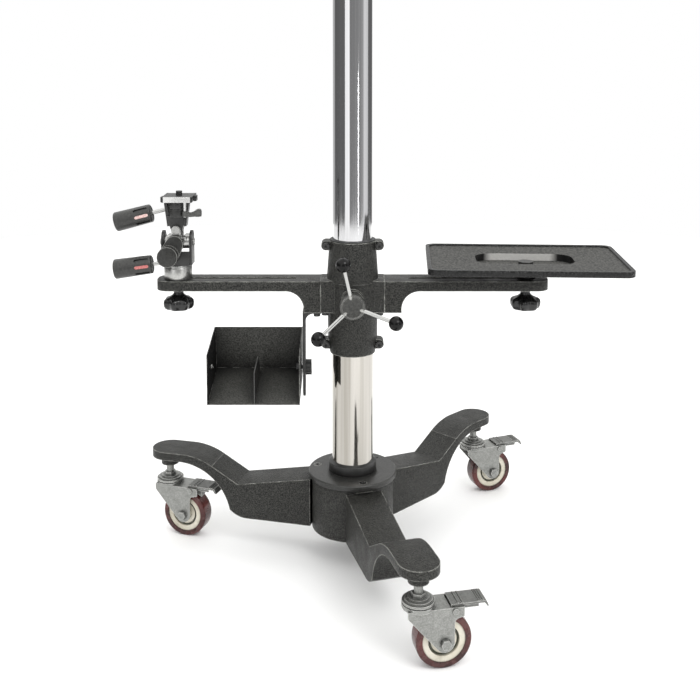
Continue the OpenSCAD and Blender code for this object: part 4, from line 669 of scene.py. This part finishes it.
# Grips of the locking handles: slotted near the rod, with an inlay in the slot that faces the front
GRIP_L, GRIP_R, TIP_R, GRIP_SIDES = 58.0, 14.0, 15.0, 72
ROUND, ROUND_STEPS = 2.5, 5
ROD_HOLE = ((0, 0), (0, 5.6), (0.5, 6.0))  # flat spot round the rod, in the grip's root
ROOT_STEP, TIP_STEP, TIP_DISH, TIP_SLOPE = 0.4, 0.6, 0.4, 0.5
SLOT_L, SLOT_W, SLOT_START, SLOT_DEEP, SLOTS = 22.0, 5.0, 3.6, 1.8, 8
CUT_PAST = 4.0
INLAY_W, INLAY_L = 0.94, 0.985  # shares of the slot that the inlay fills
INLAY_SEAT, INLAY_DROP = 0.2, 0.35


def slot_outline(wide=1.0, long=1.0, steps=8):
    """Points (across, along) of a round-ended slot, at shares of its width and length."""
    half = SLOT_W / 2
    points = []
    for middle, first in ((half, math.pi), (SLOT_L - half, 0.0)):
        for i in range(steps + 1):
            turn = first + math.pi * i / steps
            x, z = half * math.cos(turn), middle + half * math.sin(turn)
            points.append((wide * x, long * (z - SLOT_L / 2) + SLOT_L / 2 + SLOT_START))
    return points


def cut_away(obj, bm):
    """Cuts the solids of bm out of an object for good."""
    cutter = linked("cutter", mesh_from("cutter", bm))
    later = list(obj.modifiers)
    cut = obj.modifiers.new("cut", "BOOLEAN")
    cut.object = cutter
    cut.operation = "DIFFERENCE"
    cut.solver = "EXACT"
    obj.modifiers.move(len(obj.modifiers) - 1, 0)
    for modifier in later:
        modifier.show_viewport = False
    bpy.context.view_layer.update()
    shown = obj.evaluated_get(bpy.context.evaluated_depsgraph_get())
    result = bpy.data.meshes.new_from_object(shown)
    obj.modifiers.remove(cut)
    for modifier in later:
        modifier.show_viewport = True
    obj.data = result
    bpy.data.objects.remove(cutter)


def handle_grip(name, node, body, root, tip, inlay):
    """Grip over the last stretch of a handle that runs from root to tip."""
    root, tip = Vector(root), Vector(tip)
    start = tip + (root - tip).normalized() * GRIP_L
    place = along(start, tip) @ turned_about_z(90)
    bends = [math.pi / 2 * i / ROUND_STEPS for i in range(ROUND_STEPS + 1)]
    rim = [(ROUND * (1 - math.cos(bend)), ROUND * (1 - math.sin(bend))) for bend in bends]
    tip_flat = TIP_R - ROUND - TIP_STEP

    rings = [*ROD_HOLE, (ROD_HOLE[-1][0], GRIP_R - ROUND - ROOT_STEP)]
    rings += [(rise, GRIP_R - inset) for rise, inset in rim]
    rings += [(GRIP_L - rise, TIP_R - inset) for rise, inset in reversed(rim)]
    rings += [(GRIP_L, tip_flat), (GRIP_L - TIP_DISH, tip_flat - TIP_SLOPE), (GRIP_L - TIP_DISH, 0)]
    bm = bmesh.new()
    turned(bm, rings, GRIP_SIDES, place)
    grip = placed(name, bm, body, "black_plastic", "grip_plastic")
    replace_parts(grip, node)

    slots = bmesh.new()
    for i in range(SLOTS):
        slab_from(slots, slot_outline(), GRIP_R - SLOT_DEEP, GRIP_R + CUT_PAST,
                  place @ turned_about_z(360 * i / SLOTS))
    cut_away(grip, slots)

    fill = bmesh.new()
    seat, face = GRIP_R - SLOT_DEEP - INLAY_SEAT, GRIP_R - INLAY_DROP
    slab_from(fill, slot_outline(INLAY_W, INLAY_L), seat, face, place)
    placed(name + "_inlay", fill, body, None, inlay)


handle_grip("lower_handle_grip", "lower_grip", "lower_handle",
            root=(-285, -32, 474), tip=(-360.8, -32, 463.5), inlay="inlay_red")
handle_grip("upper_handle_grip", "upper_grip", "upper_handle",
            root=(-278, 0, 552.7), tip=(-365.5, 0, 530.2), inlay="inlay_pink")


# Studio

# The walls' brightness by azimuth in degrees, from the front to the right
WALL_BANDS = (
    (-180, 0.62), (-135, 0.62), (-122, 0.15), (-46, 0.19), (-43, 1.5), (-19, 1.5), (-15, 0.28),
    (34, 0.34), (62, 0.42), (72, 1.0), (98, 0.9), (106, 0.18), (150, 0.16), (172, 0.62))
# Heights from straight down, 0, to straight up, 1, each with the ceiling's share of the light there
CEILING = ((0.0, 0.0), (0.60, 0.0), (0.80, 1.0))
CEILING_LIGHT = (1.62, 1.62, 1.60, 1.0)
BACKDROP_WHITE = (1.0, 1.0, 1.0, 1.0)


def studio_world():
    """White backdrop for the camera, and a soft studio round the object for everything else."""
    world = bpy.data.worlds.new("studio")
    scene.world = world
    world.use_nodes = True
    world.node_tree.nodes.clear()

    def add(kind, inputs=None, **settings):
        return add_node(world.node_tree, kind, inputs, **settings)

    def ramp(value, stops):
        node = add("ShaderNodeValToRGB", {"Fac": value})
        elements = node.color_ramp.elements
        while len(elements) < len(stops):
            elements.new(0.5)
        for element, (position, level) in zip(elements, stops):
            element.position = position
            element.color = (level, level, level, 1)
        return node.outputs["Color"]

    def share(value, low, high):
        return add("ShaderNodeMapRange", {"Value": value, "From Min": low, "From Max": high}).outputs[0]

    place = add("ShaderNodeTexCoord").outputs["Generated"]
    way = add("ShaderNodeSeparateXYZ", {"Vector": place}).outputs
    back = add("ShaderNodeMath", {0: way["Y"], 1: -1.0}, operation="MULTIPLY").outputs[0]
    azimuth = add("ShaderNodeMath", {0: way["X"], 1: back}, operation="ARCTAN2").outputs[0]
    bands = [(0.5 + turn / 360, level) for turn, level in WALL_BANDS]
    walls = ramp(share(azimuth, -math.pi, math.pi), bands)
    overhead = ramp(share(way["Z"], -1.0, 1.0), CEILING)
    level = add("ShaderNodeMix", {MIX_FIRST: walls, MIX_SECOND: CEILING_LIGHT, MIX_SHARE: overhead},
                data_type="RGBA").outputs[MIX_RESULT]
    lit = add("ShaderNodeBackground", {"Color": level, "Strength": 1.0}).outputs[0]
    seen = add("ShaderNodeBackground", {"Color": BACKDROP_WHITE, "Strength": 1.0}).outputs[0]
    camera_ray = add("ShaderNodeLightPath").outputs["Is Camera Ray"]
    mixed = add("ShaderNodeMixShader", {0: camera_ray, 1: lit, 2: seen}).outputs[0]
    add("ShaderNodeOutputWorld", {"Surface": mixed})


def soft_light(name, azimuth, distance, height, width, tall, watts, aim):
    """Area light at an azimuth in degrees from the front, to the right, aimed at the column."""
    data = bpy.data.lights.new(name, "AREA")
    data.shape = "RECTANGLE"
    data.size, data.size_y = width, tall
    data.energy = watts
    light = linked(name, data)
    turn = math.radians(azimuth)
    light.location = (distance * math.sin(turn), -distance * math.cos(turn), height)
    way = Vector((0, 0, aim)) - light.location
    light.rotation_euler = way.to_track_quat("-Z", "Y").to_euler()
    light.visible_camera = False


def pale_floor(radius=3.0, sides=96):
    shade, clean = (0.925, 0.925, 0.925), (0.935, 0.935, 0.935)
    mesh = bpy.data.meshes.new("floor")
    bm = bmesh.new()
    bmesh.ops.create_circle(bm, cap_ends=True, segments=sides, radius=radius)
    bm.to_mesh(mesh)
    bm.free()
    f = Finish("floor_white", (0.93, 0.93, 0.93), 0.6, Specular_IOR_Level=0.2)
    f.use(f.blend(f.patches(scale=2.0, detail=3, low=0.3, high=0.7), shade, clean), "Base Color")
    mesh.materials.append(f.material)
    linked("floor", mesh)


studio_world()
pale_floor()
soft_light("key_soft", azimuth=35, distance=2.6, height=2.8, width=1.6, tall=1.6, watts=40, aim=0.3)
soft_light("tall_strip", azimuth=34, distance=1.6, height=0.48, width=0.05, tall=0.45, watts=1.2, aim=0.48)

# Camera at the photograph's angle: it looks slightly down, and its shift keeps the framing
CAMERA_AT, CAMERA_DIP = (-0.0001, -1.5458, 0.8), 5.27
LENS, SENSOR_W, SHIFT_X, SHIFT_Y = 52.15, 36.0, -0.0036, -0.3

camera_data = bpy.data.cameras.new("camera")
camera_data.lens = LENS
camera_data.sensor_width = SENSOR_W
camera_data.shift_x = SHIFT_X
camera_data.shift_y = SHIFT_Y
camera = linked("camera", camera_data)
camera.location = CAMERA_AT
camera.rotation_euler = (math.radians(90 - CAMERA_DIP), 0, 0)
scene.camera = camera

bpy.context.view_layer.update()
